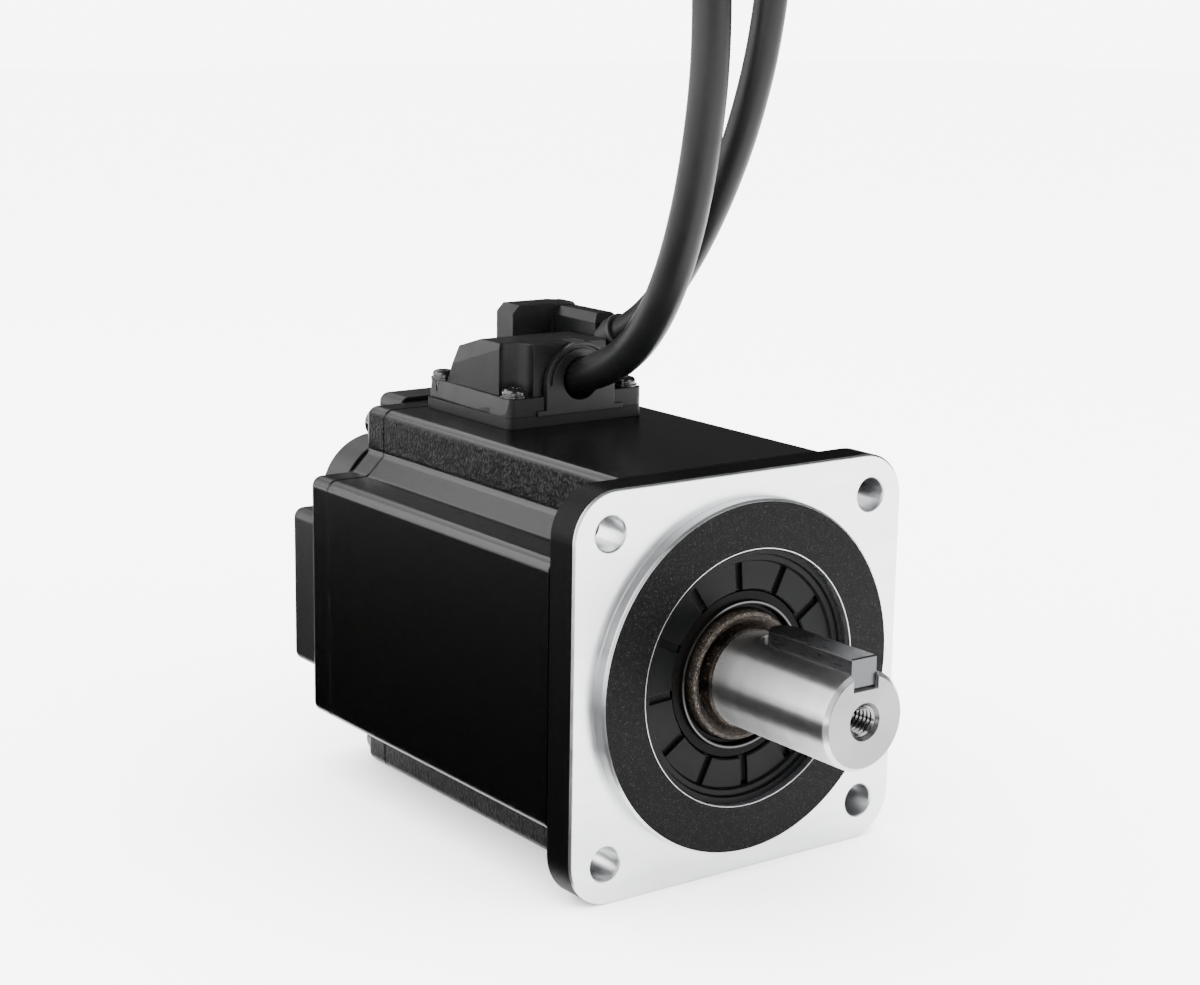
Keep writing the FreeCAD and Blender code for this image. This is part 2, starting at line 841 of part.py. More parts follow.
def rear_bracket():
    body = new_body("rear_bracket")
    sketch = outline_sketch(body, "YZ_Plane", notched_section(), frame_rear)
    pad(body, sketch, d.bracket_thickness, backwards=True)
    round_section(body)
    bevel_seam(body)
    edged(body, "Fillet", d.bracket_edge_radius, lambda edge: on_section_rim(edge, bracket_rear))
    spigot_front = frame_rear + d.rear_spigot_length
    boss_radius = d.rear_bearing_outer + d.bearing_boss_wall
    trough_radius = d.spigot_radius - d.spigot_wall
    boss_front = rear_bearing_front - 0.5
    spun(body, "Revolution", outline_sketch(body, "XZ_Plane", [
        (frame_rear - 1, boss_radius - 1),
        (boss_front, boss_radius - 1),
        (boss_front, boss_radius),
        (frame_rear, boss_radius),
        (frame_rear, trough_radius),
        (spigot_front, trough_radius),
        (spigot_front, d.spigot_radius),
        (frame_rear - 1, d.spigot_radius),
    ]))
    groove(body, [
        (boss_front + 1, 0),
        (boss_front + 1, d.rear_bearing_outer),
        (washer_seat, d.rear_bearing_outer),
        (washer_seat, d.shaft_tunnel_radius),
        (encoder_recess_floor, d.shaft_tunnel_radius),
        (encoder_recess_floor, d.encoder_recess_radius),
        (bracket_rear - 1, d.encoder_recess_radius),
        (bracket_rear - 1, 0),
    ])
    groove(body, o_ring_groove(rear_o_ring_front))
    bolt_clearance = d.tie_bolt_radius + d.tie_bolt_clearance
    holes = [(place, bolt_clearance) for place in tie_bolt_places]
    pocket(body, circles_sketch(body, "YZ_Plane", holes, frame_rear + 1), d.bracket_thickness + 2)
    sinks = [(place, d.tie_bolt_head_radius + d.screw_sink_gap) for place in tie_bolt_places]
    sink_sketch = circles_sketch(body, "YZ_Plane", sinks, bracket_rear)
    pocket(body, sink_sketch, d.tie_bolt_sink, backwards=False)
    threads = [(place, d.cover_screw_radius) for place in cover_screw_places]
    threads_sketch = circles_sketch(body, "YZ_Plane", threads, bracket_rear)
    pocket(body, threads_sketch, d.cover_thread_depth, backwards=False)


def on_section_rim(edge, station):
    """An edge where the notched section's side meets its end face."""
    centre = middle(edge)
    return in_plane(edge, 0, station) and math.hypot(centre.y, centre.z) > SECTION_RIM_REACH


def bevel_seam(body):
    """Bevels the outline where frame and bracket meet, so their seam shows as a fine groove."""
    edged(body, "Chamfer", d.seam_bevel, lambda edge: on_section_rim(edge, frame_rear))


def cover_plate(body, front, thickness):
    """A rounded square plate across the shaft, with a bulge in the middle of each side."""
    outline = []
    for turns, reach in enumerate(cover_reaches):
        side = [
            (d.cover_half, -d.cover_bulge_half),
            (reach, -d.cover_bulge_half),
            (reach, d.cover_bulge_half),
            (d.cover_half, d.cover_bulge_half),
            (d.cover_half, d.cover_half),
        ]
        outline.extend(quarter_turns(side)[turns * len(side):][:len(side)])
    pad(body, outline_sketch(body, "YZ_Plane", outline, front), thickness, backwards=True)
    edged(
        body, "Fillet", d.cover_corner_radius,
        lambda edge: on_section(edge, d.cover_half, d.cover_half),
    )
    edged(
        body, "Fillet", d.cover_bulge_radius,
        lambda edge: any(on_section(edge, d.cover_bulge_half, reach) for reach in cover_reaches),
    )


def encoder_cover():
    body = new_body("encoder_cover")
    cover_plate(body, cover_front, d.cover_depth)
    edged(body, "Fillet", d.cover_edge_radius, lambda edge: in_plane(edge, 0, cover_rear))
    cavity = circles_sketch(body, "YZ_Plane", [((0, 0), d.cover_cavity_radius)], cover_front)
    pocket(body, cavity, d.cover_cavity_depth)
    clearance = d.cover_screw_radius + d.cover_screw_clearance
    holes = [(place, clearance) for place in cover_screw_places]
    pocket(body, circles_sketch(body, "YZ_Plane", holes, cover_front + 1), d.cover_depth + 2)
    sinks = [(place, d.cover_screw_head + d.screw_sink_gap) for place in cover_screw_places]
    sink_sketch = circles_sketch(body, "YZ_Plane", sinks, cover_rear)
    pocket(body, sink_sketch, d.cover_screw_sink, backwards=False)


def encoder_gasket():
    body = new_body("encoder_gasket")
    cover_plate(body, bracket_rear, d.gasket_thickness)
    opening = circles_sketch(body, "YZ_Plane", [((0, 0), d.cover_cavity_radius)], bracket_rear + 1)
    pocket(body, opening, d.gasket_thickness + 2)
    hole_radius = d.cover_screw_radius + d.cover_screw_clearance
    holes = [(place, hole_radius) for place in cover_screw_places]
    pocket(body, circles_sketch(body, "YZ_Plane", holes, bracket_rear + 1), d.gasket_thickness + 2)


def socket_screw(place, shank_radius, tip, seat, head_radius, head_height):
    """A socket-head screw along the shaft axis, with its head behind the seat."""
    y, z = place
    shank = rod(shank_radius, seat, tip, y, z)
    head = rod(head_radius, seat - head_height, seat, y, z)
    head = bevel(head, d.screw_head_bevel, lambda edge: in_plane(edge, 0, seat - head_height))
    key_depth = head_height * 0.55
    key = hexagon(head_radius * 0.5, seat - head_height - 0.1, seat - head_height + key_depth, y, z)
    return cut(fuse(shank, head), key)


def o_ring(front):
    ring = document.addObject("Part::Torus", "ring")
    ring.setExpression("Radius2", d.o_ring_section_radius.formula)
    ring.setExpression("Radius1", (d.spigot_radius - d.o_ring_section_radius).formula)
    ring.Placement = Placement(Vector(), Rotation(Vector(0, 1, 0), 90))
    place_at(ring, front - d.o_ring_groove_width / 2, 0, 0)
    return ring


def casing_fasteners():
    tie_bolt_tip = frame_front + d.tie_bolt_depth - d.tie_bolt_tip_gap
    tie_bolts = [
        socket_screw(
            place, d.tie_bolt_radius, tie_bolt_tip, bracket_rear + d.tie_bolt_sink,
            d.tie_bolt_head_radius, d.tie_bolt_head_height,
        )
        for place in tie_bolt_places
    ]
    keep(group(tie_bolts), "tie_bolts")
    seat = cover_rear + d.cover_screw_sink
    cover_screws = [
        socket_screw(
            place, d.cover_screw_radius, bracket_rear + d.cover_screw_reach, seat,
            d.cover_screw_head, d.cover_screw_sink - d.cover_screw_head_gap,
        )
        for place in cover_screw_places
    ]
    keep(group(cover_screws), "cover_screws")
    keep(o_ring(front_o_ring_front), "front_o_ring")
    keep(o_ring(rear_o_ring_front), "rear_o_ring")


# ---------------------------------------------------------------- shaft, bearings and seal


def rotor_shaft():
    end = d.shaft_length
    seat_end = d.seal_seat_end
    body = turned("rotor_shaft", [
        (end, 0),
        (end, d.shaft_radius - d.shaft_chamfer),
        (end - d.shaft_chamfer, d.shaft_radius),
        (seat_end, d.shaft_radius),
        (seat_end, d.seal_seat_radius - 0.3),
        (seat_end - 0.3, d.seal_seat_radius),
        (front_bearing_rear, d.seal_seat_radius),
        (front_bearing_rear, d.shaft_core_radius),
        (-d.shaft_core_rear, d.shaft_core_radius),
        (-d.shaft_core_rear, d.rear_shoulder_radius),
        (rear_bearing_front, d.rear_shoulder_radius),
        (rear_bearing_front, d.rear_journal_radius),
        (rear_bearing_rear - 0.5, d.rear_journal_radius),
        (rear_bearing_rear - 0.5, d.encoder_journal_radius),
        (-d.encoder_journal_rear, d.encoder_journal_radius),
        (-d.encoder_journal_rear, 0),
    ])
    half = d.key_width / 2
    arc_centre = d.keyway_rear + half
    slot = outline_sketch(body, "XY_Plane", [
        (arc_centre, -half),
        (end + 1, -half),
        (end + 1, half),
        (arc_centre, half),
    ], d.keyway_floor)
    pocket(body, slot, 6, backwards=False)
    slot_end = circles_sketch(body, "XY_Plane", [((arc_centre, 0), half)], d.keyway_floor)
    pocket(body, slot_end, 6, backwards=False)
    thread_sketch = circles_sketch(body, "YZ_Plane", [((0, 0), d.end_thread_radius)], end)
    pocket(body, thread_sketch, d.end_thread_depth)
    edged(
        body, "Chamfer", d.end_thread_countersink,
        lambda edge: is_ring(edge, end, d.end_thread_radius),
    )
    screw_hole = circles_sketch(
        body, "YZ_Plane", [((0, 0), d.hub_screw_radius)], -d.encoder_journal_rear
    )
    pocket(body, screw_hole, as_size(7), backwards=False)


def shaft_key():
    half = d.key_width / 2
    arc_centre = d.key_front - d.key_length + half
    height = (d.key_bottom, d.key_top)
    bar = block((arc_centre, d.key_front), (-half, half), height)
    rear_end = post(half, arc_centre, as_size(0), *height)
    whole = document.addObject("Part::Refine", "whole")
    whole.Source = fuse(bar, rear_end)
    key = bevel(
        whole, d.key_chamfer,
        lambda edge: in_plane(edge, 2, d.key_top) or in_plane(edge, 2, d.key_bottom),
    )
    keep(key, "shaft_key")


def bearing(prefix, front, rear, bore, land, shoulder, outer, ball_radius, pitch, cage_half,
            shield_gap, count, first_angle):
    """A deep-groove ball bearing as two rings, a ball set, a cage and a pair of shields."""
    station = (front + rear) / 2
    race_radius = ball_radius + d.race_clearance
    inner = turned(f"{prefix}_bearing_inner_ring", [
        (front, bore), (front, shoulder), (rear, shoulder), (rear, bore),
    ])
    ball_groove(inner, station, pitch, race_radius)
    edged(inner, "Chamfer", as_size(0.3), lambda edge: is_end_ring(edge, front, rear, bore))
    outer_ring = turned(f"{prefix}_bearing_outer_ring", [
        (front, land), (front, outer), (rear, outer), (rear, land),
    ])
    ball_groove(outer_ring, station, pitch, race_radius)
    edged(outer_ring, "Chamfer", as_size(0.4), lambda edge: is_end_ring(edge, front, rear, outer))
    angles = [first_angle + 360.0 * index / count for index in range(count)]
    balls = [ball(ball_radius, station, *around(pitch, angle)) for angle in angles]
    keep(group(balls), f"{prefix}_bearing_balls")
    cage_outer = rod(pitch + d.cage_half_thickness, station - cage_half, station + cage_half)
    cage_inner = rod(pitch - d.cage_half_thickness, station - cage_half, station + cage_half)
    pockets = [
        spoke(ball_radius + 0.1, station, angle, pitch - 3, pitch + 3) for angle in angles
    ]
    keep(cut(cut(cage_outer, cage_inner), fuse(*pockets)), f"{prefix}_bearing_cage")
    shields = []
    for side in (1, -1):
        near = station + side * shield_gap
        far = near + side * d.shield_thickness
        low, high = (near, far) if side > 0 else (far, near)
        shields.append(cut(rod(land, low, high), rod(shoulder + d.shield_gap, low, high)))
    keep(group(shields), f"{prefix}_bearing_shields")


def is_end_ring(edge, front, rear, radius):
    return is_ring(edge, front, radius) or is_ring(edge, rear, radius)


def bearings():
    bearing(
        "front", front_bearing_front, front_bearing_rear, d.seal_seat_radius,
        d.front_bearing_land, d.front_bearing_shoulder, d.front_bearing_outer,
        d.front_ball_radius, d.front_ball_pitch, d.front_cage_half, d.front_shield_gap,
        FRONT_BALL_COUNT, 0,
    )
    bearing(
        "rear", rear_bearing_front, rear_bearing_rear, d.rear_journal_radius,
        d.rear_bearing_land, d.rear_bearing_shoulder, d.rear_bearing_outer,
        d.rear_ball_radius, d.rear_ball_pitch, d.rear_cage_half, d.rear_shield_gap,
        REAR_BALL_COUNT, 180.0 / REAR_BALL_COUNT,
    )
    washer_inner = d.rear_bearing_land - 0.6
    turned("preload_washer", [
        (rear_bearing_rear, d.rear_bearing_outer - 0.1),
        (rear_bearing_rear - 0.5, d.rear_bearing_outer - 0.1),
        (washer_seat, washer_inner),
        (washer_seat + 0.5, washer_inner),
    ])


def oil_seal():
    """A rubber shaft seal: a case ring, a bright rim, and lips that close on the shaft."""
    lip = d.seal_seat_radius + d.seal_lip_clearance
    seal = turned("oil_seal", [
        (-d.seal_rear, d.seal_bore_radius),
        (-0.6, d.seal_bore_radius),
        (-0.6, d.seal_rim_radius + 0.5),
        (0.2, d.seal_rim_radius + 0.3),
        (0.2, d.seal_rim_radius - 0.3),
        (-1.2, d.seal_rim_radius - 0.6),
        (-1.2, d.seal_lip_radius + 0.5),
        (0.9, d.seal_lip_radius),
        (1.2, d.seal_lip_radius - 0.7),
        (0.5, lip + 0.9),
        (-0.5, lip),
        (-1.1, lip + 0.4),
        (-3.4, lip + 0.9),
        (-4.4, lip),
        (-5.6, lip + 1.4),
        (-5.6, d.seal_bore_radius - 2.0),
        (-d.seal_rear, d.seal_bore_radius - 2.0),
    ])
    spring = document.addObject("Part::Torus", "spring")
    spring.Radius2 = 0.5
    spring.setExpression("Radius1", (lip + 2.3).formula)
    spring.Placement = Placement(Vector(), Rotation(Vector(0, 1, 0), 90))
    place_at(spring, as_size(-6.2), 0, 0)
    keep(spring, "seal_spring")
    return seal


def seal_cover_ring():
    """The ribbed plastic ring round the seal, with radial slots in its face."""
    body = turned("seal_cover_ring", [
        (-d.front_recess_floor, d.seal_bore_radius + 0.3),
        (-0.3, d.seal_bore_radius + 0.3),
        (0, d.seal_bore_radius + 0.6),
        (0, d.cover_ring_rim_radius - 0.8),
        (0.7, d.cover_ring_rim_radius - 0.4),
        (0.7, d.cover_ring_rim_radius + 0.6),
        (d.cover_ring_rim_height, d.cover_ring_rim_radius + 0.9),
        (d.cover_ring_rim_height, d.front_recess_radius),
        (-d.front_recess_floor, d.front_recess_radius),
    ])
    half = d.cover_ring_slot_width / 2
    slot = outline_sketch(body, "YZ_Plane", [
        (d.seal_bore_radius - 1, -half),
        (d.cover_ring_slot_end, -half),
        (d.cover_ring_slot_end, half),
        (d.seal_bore_radius - 1, half),
    ], 1)
    slot_cut = pocket(body, slot, d.cover_ring_slot_depth + 1)
    around_shaft(body, slot_cut, COVER_RING_SLOT_COUNT)
    body.Placement = Placement(Vector(), Rotation(Vector(1, 0, 0), COVER_RING_SLOT_START))


# ---------------------------------------------------------------- magnetic circuit


def stator_core():
    body = new_body("stator_core")
    stack = d.core_rear - d.core_front
    yoke = circles_sketch(body, "YZ_Plane", [
        ((0, 0), d.frame_bore_radius),
        ((0, 0), d.yoke_inner_radius),
    ], -d.core_front)
    pad(body, yoke, stack, backwards=True)
    half = d.tooth_half_width
    shoe = d.tooth_tip_half_width
    tip = d.tooth_tip_radius
    right_side = [
        (shoe, tip),
        (shoe, tip + d.tooth_tip_thickness),
        (half, d.tooth_neck_radius),
        (half, d.yoke_inner_radius + 0.6),
    ]
    left_side = [(-y, z) for y, z in reversed(right_side)]
    tooth = outline_sketch(body, "YZ_Plane", right_side + left_side, -d.core_front)
    around_shaft(body, pad(body, tooth, stack, backwards=True), TOOTH_COUNT)


def turned_copy(item, angle):
    """Swings a piece built above the shaft to another place about the shaft."""
    item.Placement = Placement(Vector(), Rotation(Vector(1, 0, 0), angle)).multiply(item.Placement)
    return item


def frame_of(y_half, x_front, x_rear, wall_side, wall_end, low, high):
    """A rectangular frame lying round a tooth: an outer block with the inner block cut away."""
    outer = block(
        (-x_rear - wall_end, -x_front + wall_end), (-y_half - wall_side, y_half + wall_side),
        (low, high),
    )
    inner = block((-x_rear, -x_front), (-y_half, y_half), (low - 1, high + 1))
    return cut(outer, inner)


def windings():
    bobbins = []
    coils = []
    wall = d.bobbin_wall
    for index in range(TOOTH_COUNT):
        angle = 360.0 * index / TOOTH_COUNT
        bobbin = frame_of(
            d.tooth_half_width, d.core_front, d.core_rear, wall, wall,
            d.bobbin_inner, d.bobbin_outer,
        )
        coil = frame_of(
            d.tooth_half_width + wall, d.core_front - wall, d.core_rear + wall,
            d.coil_side, d.coil_end, d.coil_inner, d.coil_outer,
        )
        coil = round_off(coil, as_size(2.0), lambda edge: runs_along(edge, 2) and is_outer(edge))
        bobbins.append(turned_copy(bobbin, angle))
        coils.append(turned_copy(coil, angle))
    keep(group(bobbins), "coil_bobbins")
    keep(group(coils), "stator_coils")


def is_outer(edge):
    """Whether an upright edge is on the outside of a coil."""
    return abs(middle(edge).y) > (d.tooth_half_width + d.bobbin_wall).value + 0.1


def rotor():
    core = turned("rotor_core", [
        (-d.core_front, d.shaft_core_radius),
        (-d.core_front, d.rotor_core_radius),
        (-d.core_rear, d.rotor_core_radius),
        (-d.core_rear, d.shaft_core_radius),
    ])
    hole_circle = (d.shaft_core_radius + d.rotor_core_radius) / 2
    vent = circles_sketch(core, "YZ_Plane", [((0, hole_circle), as_size(1.6))], -d.core_front)
    around_shaft(core, pocket(core, vent, d.core_rear - d.core_front), 5)
    magnets = []
    for index in range(POLE_COUNT):
        sector = rod(d.rotor_core_radius + d.magnet_thickness, -d.core_rear, -d.core_front)
        sector.setExpression("Angle", d.magnet_angle.formula)
        magnet = cut(sector, rod(d.rotor_core_radius, -d.core_rear, -d.core_front))
        magnets.append(turned_copy(magnet, 360.0 * index / POLE_COUNT))
    keep(group(magnets), "rotor_magnets")
    rings = []
    for near, far in (
        (-d.core_front, -d.core_front + d.balance_ring_width),
        (-d.core_rear - d.balance_ring_width, -d.core_rear),
    ):
        rings.append(cut(rod(d.balance_ring_radius, near, far), rod(d.shaft_core_radius, near, far)))
    keep(group(rings), "balance_rings")


# ---------------------------------------------------------------- encoder


def encoder():
    journal_rear = -d.encoder_journal_rear
    hub_front = journal_rear + d.encoder_hub_length
    turned("encoder_hub", [
        (hub_front, d.encoder_journal_radius),
        (hub_front, d.encoder_hub_radius),
        (journal_rear, d.encoder_hub_radius),
        (journal_rear, d.encoder_journal_radius),
    ])
    disc_rear = journal_rear - d.encoder_disc_thickness
    turned("encoder_disc", [
        (journal_rear, d.hub_screw_radius + 0.1),
        (journal_rear, d.encoder_disc_radius),
        (disc_rear, d.encoder_disc_radius),
        (disc_rear, d.hub_screw_radius + 0.1),
    ])
    head_rear = disc_rear - 1.1
    shank = rod(d.hub_screw_radius, disc_rear, journal_rear + 6)
    head = rod(d.hub_screw_head, head_rear, disc_rear)
    key = hexagon(as_size(1.2), head_rear - 0.1, head_rear + 0.7, 0, 0)
    keep(cut(fuse(shank, head), key), "encoder_hub_screw")

    board_front = -d.encoder_board_face
    board_rear = board_front - d.encoder_board_thickness
    plate = rod(d.encoder_board_radius, board_rear, board_front)
    standoffs = []
    screws = []
    holes = []
    for index in range(STANDOFF_COUNT):
        y, z = around(d.standoff_circle, 360.0 * index / STANDOFF_COUNT)
        standoffs.append(rod(d.standoff_radius, board_front, encoder_recess_floor, y, z))
        holes.append(rod(as_size(1.05), board_rear - 1, board_front + 1, y, z))
        tip = board_front
        screws.append(fuse(
            rod(as_size(1.0), board_rear, tip, y, z),
            rod(as_size(1.9), board_rear - 0.8, board_rear, y, z),
        ))
    keep(group(standoffs), "encoder_standoffs")
    keep(group(screws), "encoder_board_screws")
    keep(cut(plate, fuse(*holes)), "encoder_board")
    sensor = block(
        (board_front, board_front + 1.2), (as_size(-3.5), as_size(3.5)), (as_size(-16.5), as_size(-9.5))
    )
    keep(sensor, "encoder_sensor")


# ---------------------------------------------------------------- connector block


def deck_outline():
    return [
        (-d.connector_rear, -d.connector_left),
        (-d.connector_front, -d.connector_left),
        (-d.connector_front, d.connector_right),
        (-d.connector_rear, d.connector_right),
    ]


def window_outline(margin):
    left = d.gland_axis_y - d.wire_window_half - margin
    right = d.gland_axis_y + d.wire_window_half + margin
    return [
        (-d.wire_window_rear, left),
        (-d.wire_window_front + margin, left),
        (-d.wire_window_front + margin, right),
        (-d.wire_window_rear, right),
    ]


def connector_spacer():
    body = new_body("connector_spacer")
    sketch = outline_sketch(body, "XY_Plane", deck_outline(), d.flange_half)
    pad(body, sketch, d.spacer_thickness)
    edged(body, "Fillet", d.connector_corner_radius, lambda edge: runs_along(edge, 2))
    window = outline_sketch(body, "XY_Plane", window_outline(0), connector_floor)
    pocket(body, window, d.spacer_thickness + 1)
    holes = [(place, d.connector_screw_radius + 0.1) for place in connector_screw_places]
    holes_sketch = circles_sketch(body, "XY_Plane", holes, connector_floor)
    pocket(body, holes_sketch, d.spacer_thickness + 1)


def half_space(points):
    """A slab whose face passes through three points, lying on the side the points' turn faces."""
    first, second, third = (Vector(*point) for point in points)
    normal = (second - first).cross(third - first).normalize()
    slab = document.addObject("Part::Box", "slab")
    slab.Length = SLAB_WIDTH
    slab.Width = SLAB_WIDTH
    slab.Height = SLAB_THICKNESS
    turn = Rotation(Vector(0, 0, 1), normal)
    to_middle = turn.multVec(Vector(SLAB_WIDTH / 2, SLAB_WIDTH / 2, 0))
    slab.Placement = Placement(first - to_middle, turn)
    return slab


def connector_housing():
    """The bolted-down connector base and the power connector's box, moulded in one piece."""
    floor = connector_floor
    body = document.addObject("PartDesign::Body", "housing")
    pad(body, outline_sketch(body, "XY_Plane", deck_outline(), floor), d.connector_flange_height)
    edged(body, "Fillet", d.connector_corner_radius, lambda edge: runs_along(edge, 2))
    side = outline_sketch(body, "XZ_Plane", [
        (-d.power_rear, connector_deck),
        (-d.power_front, connector_deck),
        (-d.power_front, power_top),
        (-d.power_top_rear, power_top),
        (-d.power_shoulder_rear, power_shoulder),
    ], d.power_left)
    pad(body, side, d.power_left + d.power_right, backwards=True)
    inside_top = power_shoulder - d.power_wall
    inside_rear = -d.power_shoulder_rear + d.power_wall
    cavity = outline_sketch(body, "XY_Plane", [
        (inside_rear, -d.power_left + d.power_left_wall),
        (-d.gland_rear - 1, -d.power_left + d.power_left_wall),
        (-d.gland_rear - 1, d.power_right - d.power_wall),
        (inside_rear, d.power_right - d.power_wall),
    ], floor - 1)
    pocket(body, cavity, inside_top - floor + 1, backwards=False)
    window = outline_sketch(body, "XY_Plane", window_outline(0), floor - 1)
    pocket(body, window, d.connector_flange_height + 1, backwards=False)
    holes = [(place, d.connector_screw_radius + 0.1) for place in connector_screw_places]
    pocket(body, circles_sketch(body, "XY_Plane", holes, connector_deck), 6)
    wells = [(place, d.screw_well_radius) for place in connector_screw_places[:1]]
    pocket(body, circles_sketch(body, "XY_Plane", wells, connector_deck), 20, backwards=False)

    tall_block = block(
        (-d.encoder_housing_rear - 1, -d.encoder_block_front),
        (-d.encoder_block_left, d.power_right + 1),
        (connector_deck, power_top + 1),
    )
    leaning_side = half_space(POWER_SLOPE_POINTS)
    room_half = d.gland_half_width + d.gland_side_gap
    gland_room = fuse(
        block(
            (-d.gland_rear, -d.power_front + d.gland_room_depth),
            (d.gland_axis_y - room_half, d.gland_axis_y + room_half),
            (floor - 1, floor + d.gland_arch_height),
        ),
        gland_ears(),
        rod(
            d.gland_half_width, -d.gland_rear, -d.power_front + d.gland_room_depth,
            d.gland_axis_y, floor + d.gland_arch_height,
        ),
    )
    shell = cut(body, fuse(tall_block, leaning_side, gland_room))
    pry_mark = block(
        (-d.pry_mark_rear, -d.pry_mark_front),
        (-d.connector_left - 1, -d.connector_left + d.pry_mark_depth),
        (floor - 1, floor + d.pry_mark_height),
    )
    keep(cut(shell, pry_mark), "connector_housing")


def gland_ears():
    """The low bar across the gland's foot, which the connector base holds down at both ends."""
    reach = d.gland_half_width + d.gland_ear_reach
    return block(
        (-d.gland_ear_rear, -d.gland_front), (d.gland_axis_y - reach, d.gland_axis_y + reach),
        (connector_floor, connector_floor + d.gland_ear_height),
    )


def power_gland():
    """The arched insert that holds the power lead, with a shallow ring round its face."""
    floor = connector_floor
    centre = floor + d.gland_arch_height
    half = d.gland_half_width
    front = -d.gland_front
    foot = block(
        (-d.gland_rear, front), (d.gland_axis_y - half, d.gland_axis_y + half), (floor, centre)
    )
    arch = rod(half, -d.gland_rear, front, d.gland_axis_y, centre)
    below = block(
        (-d.gland_rear - 1, front + 1), (as_size(-20), as_size(20)), (d.flange_half - 5, floor)
    )
    body = cut(fuse(foot, arch, gland_ears()), below)
    ring_floor = front - d.gland_ring_depth
    ring = cut(
        rod(half - d.gland_ring_outset, ring_floor, front + 1, d.gland_axis_y, centre),
        rod(half - d.gland_ring_inset, ring_floor, front + 1, d.gland_axis_y, centre),
    )
    half_ring = cut(ring, block((front - 2, front + 2), (as_size(-20), as_size(20)), (floor, centre)))
    bore = rod(
        d.power_lead_radius + d.gland_clearance, -d.gland_rear - 1, front + 1,
        d.gland_axis_y, d.power_lead_axis,
    )
    keep(cut(body, fuse(half_ring, bore)), "power_gland")


def encoder_housing():
    deck = connector_deck
    tall_top = deck + d.encoder_block_height
    arm_top = deck + d.encoder_arm_height
    tall = block(
        (-d.encoder_housing_rear, -d.encoder_block_front),
        (-d.encoder_block_left, d.encoder_right), (deck, tall_top),
    )
    tall = bevel(
        tall, d.encoder_chamfer,
        lambda edge: runs_along(edge, 0) and in_plane(edge, 2, tall_top),
    )
    arm = block(
        (-d.encoder_block_front - 1, -d.encoder_arm_front), (d.encoder_arm_left, d.encoder_right),
        (deck, arm_top),
    )
    arm = bevel(
        arm, d.encoder_chamfer,
        lambda edge: in_plane(edge, 2, arm_top) and not close(middle(edge).x, -d.encoder_block_front - 1),
    )
    corner = post(
        d.encoder_screw_gap_radius, -d.connector_rear + d.connector_screw_inset,
        d.connector_right - d.connector_screw_inset, deck - 1, tall_top + 1,
    )
    well = block(
        (-d.encoder_housing_rear + d.encoder_wall, -d.encoder_block_front - d.encoder_wall),
        (d.encoder_well_left, d.encoder_well_right), (deck - 1, tall_top - d.encoder_top_wall),
    )
    body = fuse(tall, arm)
    keep(cut(body, fuse(corner, well)), "encoder_housing")


def along_lead(item, route):
    """Turns an upright piece to follow the first run of a lead, starting at the lead's end."""
    start = Vector(*route[0])
    direction = (Vector(*route[1]) - start).normalize()
    item.Placement = Placement(start, Rotation(Vector(0, 0, 1), direction)).multiply(item.Placement)
    return item


def encoder_gland():
    """A soft boot round the encoder lead, which leans with the lead's first run."""
    low = as_size(-4.0)
    high = d.encoder_gland_length + 0.4
    boot = post(d.encoder_gland_radius, 0, 0, low, high)
    boot = round_off(boot, as_size(0.5), lambda edge: in_plane(edge, 2, high))
    bore = post(d.encoder_lead_radius + 0.05, 0, 0, low - 1, high + 1)
    sleeve = along_lead(cut(boot, bore), ENCODER_LEAD_ROUTE)
    behind = block(
        (-d.encoder_arm_front - 12, -d.encoder_arm_front), (as_size(0), as_size(25)),
        (connector_deck, connector_deck + 20),
    )
    keep(cut(sleeve, behind), "encoder_gland")


def pan_screw(x, y, seat):
    """An upright pan-head screw with a washer and a cross recess."""
    washer = post(
        d.connector_washer_radius, x, y, seat, seat + d.connector_washer_height
    )
    head_low = seat + d.connector_washer_height
    head_top = head_low + d.connector_screw_head_height
    head = post(d.connector_screw_head, x, y, head_low, head_top)
    head = round_off(head, as_size(0.9), lambda edge: in_plane(edge, 2, head_top))
    shank = post(
        d.connector_screw_radius, x, y, d.flange_half - d.connector_screw_depth, head_low
    )
    recess_depth = (head_top - 0.8, head_top + 0.2)
    arm_long, arm_thin = 1.35, 0.3
    cross = fuse(
        block((x - arm_long, x + arm_long), (y - arm_thin, y + arm_thin), recess_depth),
        block((x - arm_thin, x + arm_thin), (y - arm_long, y + arm_long), recess_depth),
    )
    return cut(fuse(washer, head, shank), cross)


def connector_hardware():
    screws = [pan_screw(x, y, connector_deck) for x, y in connector_screw_places]
    keep(group(screws), "connector_screws")
    leads = []
    pins = []
    holes = []
    for index in range(3):
        y = d.gland_axis_y + (index - 1) * d.terminal_pitch
        leads.append(post(d.terminal_pin_radius, -d.terminal_station, y, d.coil_outer, d.terminal_bottom))
        pins.append(post(d.terminal_pin_radius, -d.terminal_station, y, d.terminal_bottom, d.terminal_top))
        holes.append(post(
            d.terminal_pin_radius, -d.terminal_station, y,
            d.terminal_bottom - 1, d.terminal_top + 1,
        ))
    keep(group(leads), "phase_leads")
    keep(group(pins), "terminal_pins")
    body = block(
        (-d.wire_window_rear, -d.wire_window_front),
        (d.gland_axis_y - d.wire_window_half, d.gland_axis_y + d.wire_window_half),
        (d.terminal_bottom, connector_deck),
    )
    keep(cut(body, fuse(*holes)), "terminal_block")


# ---------------------------------------------------------------- leads and plugs


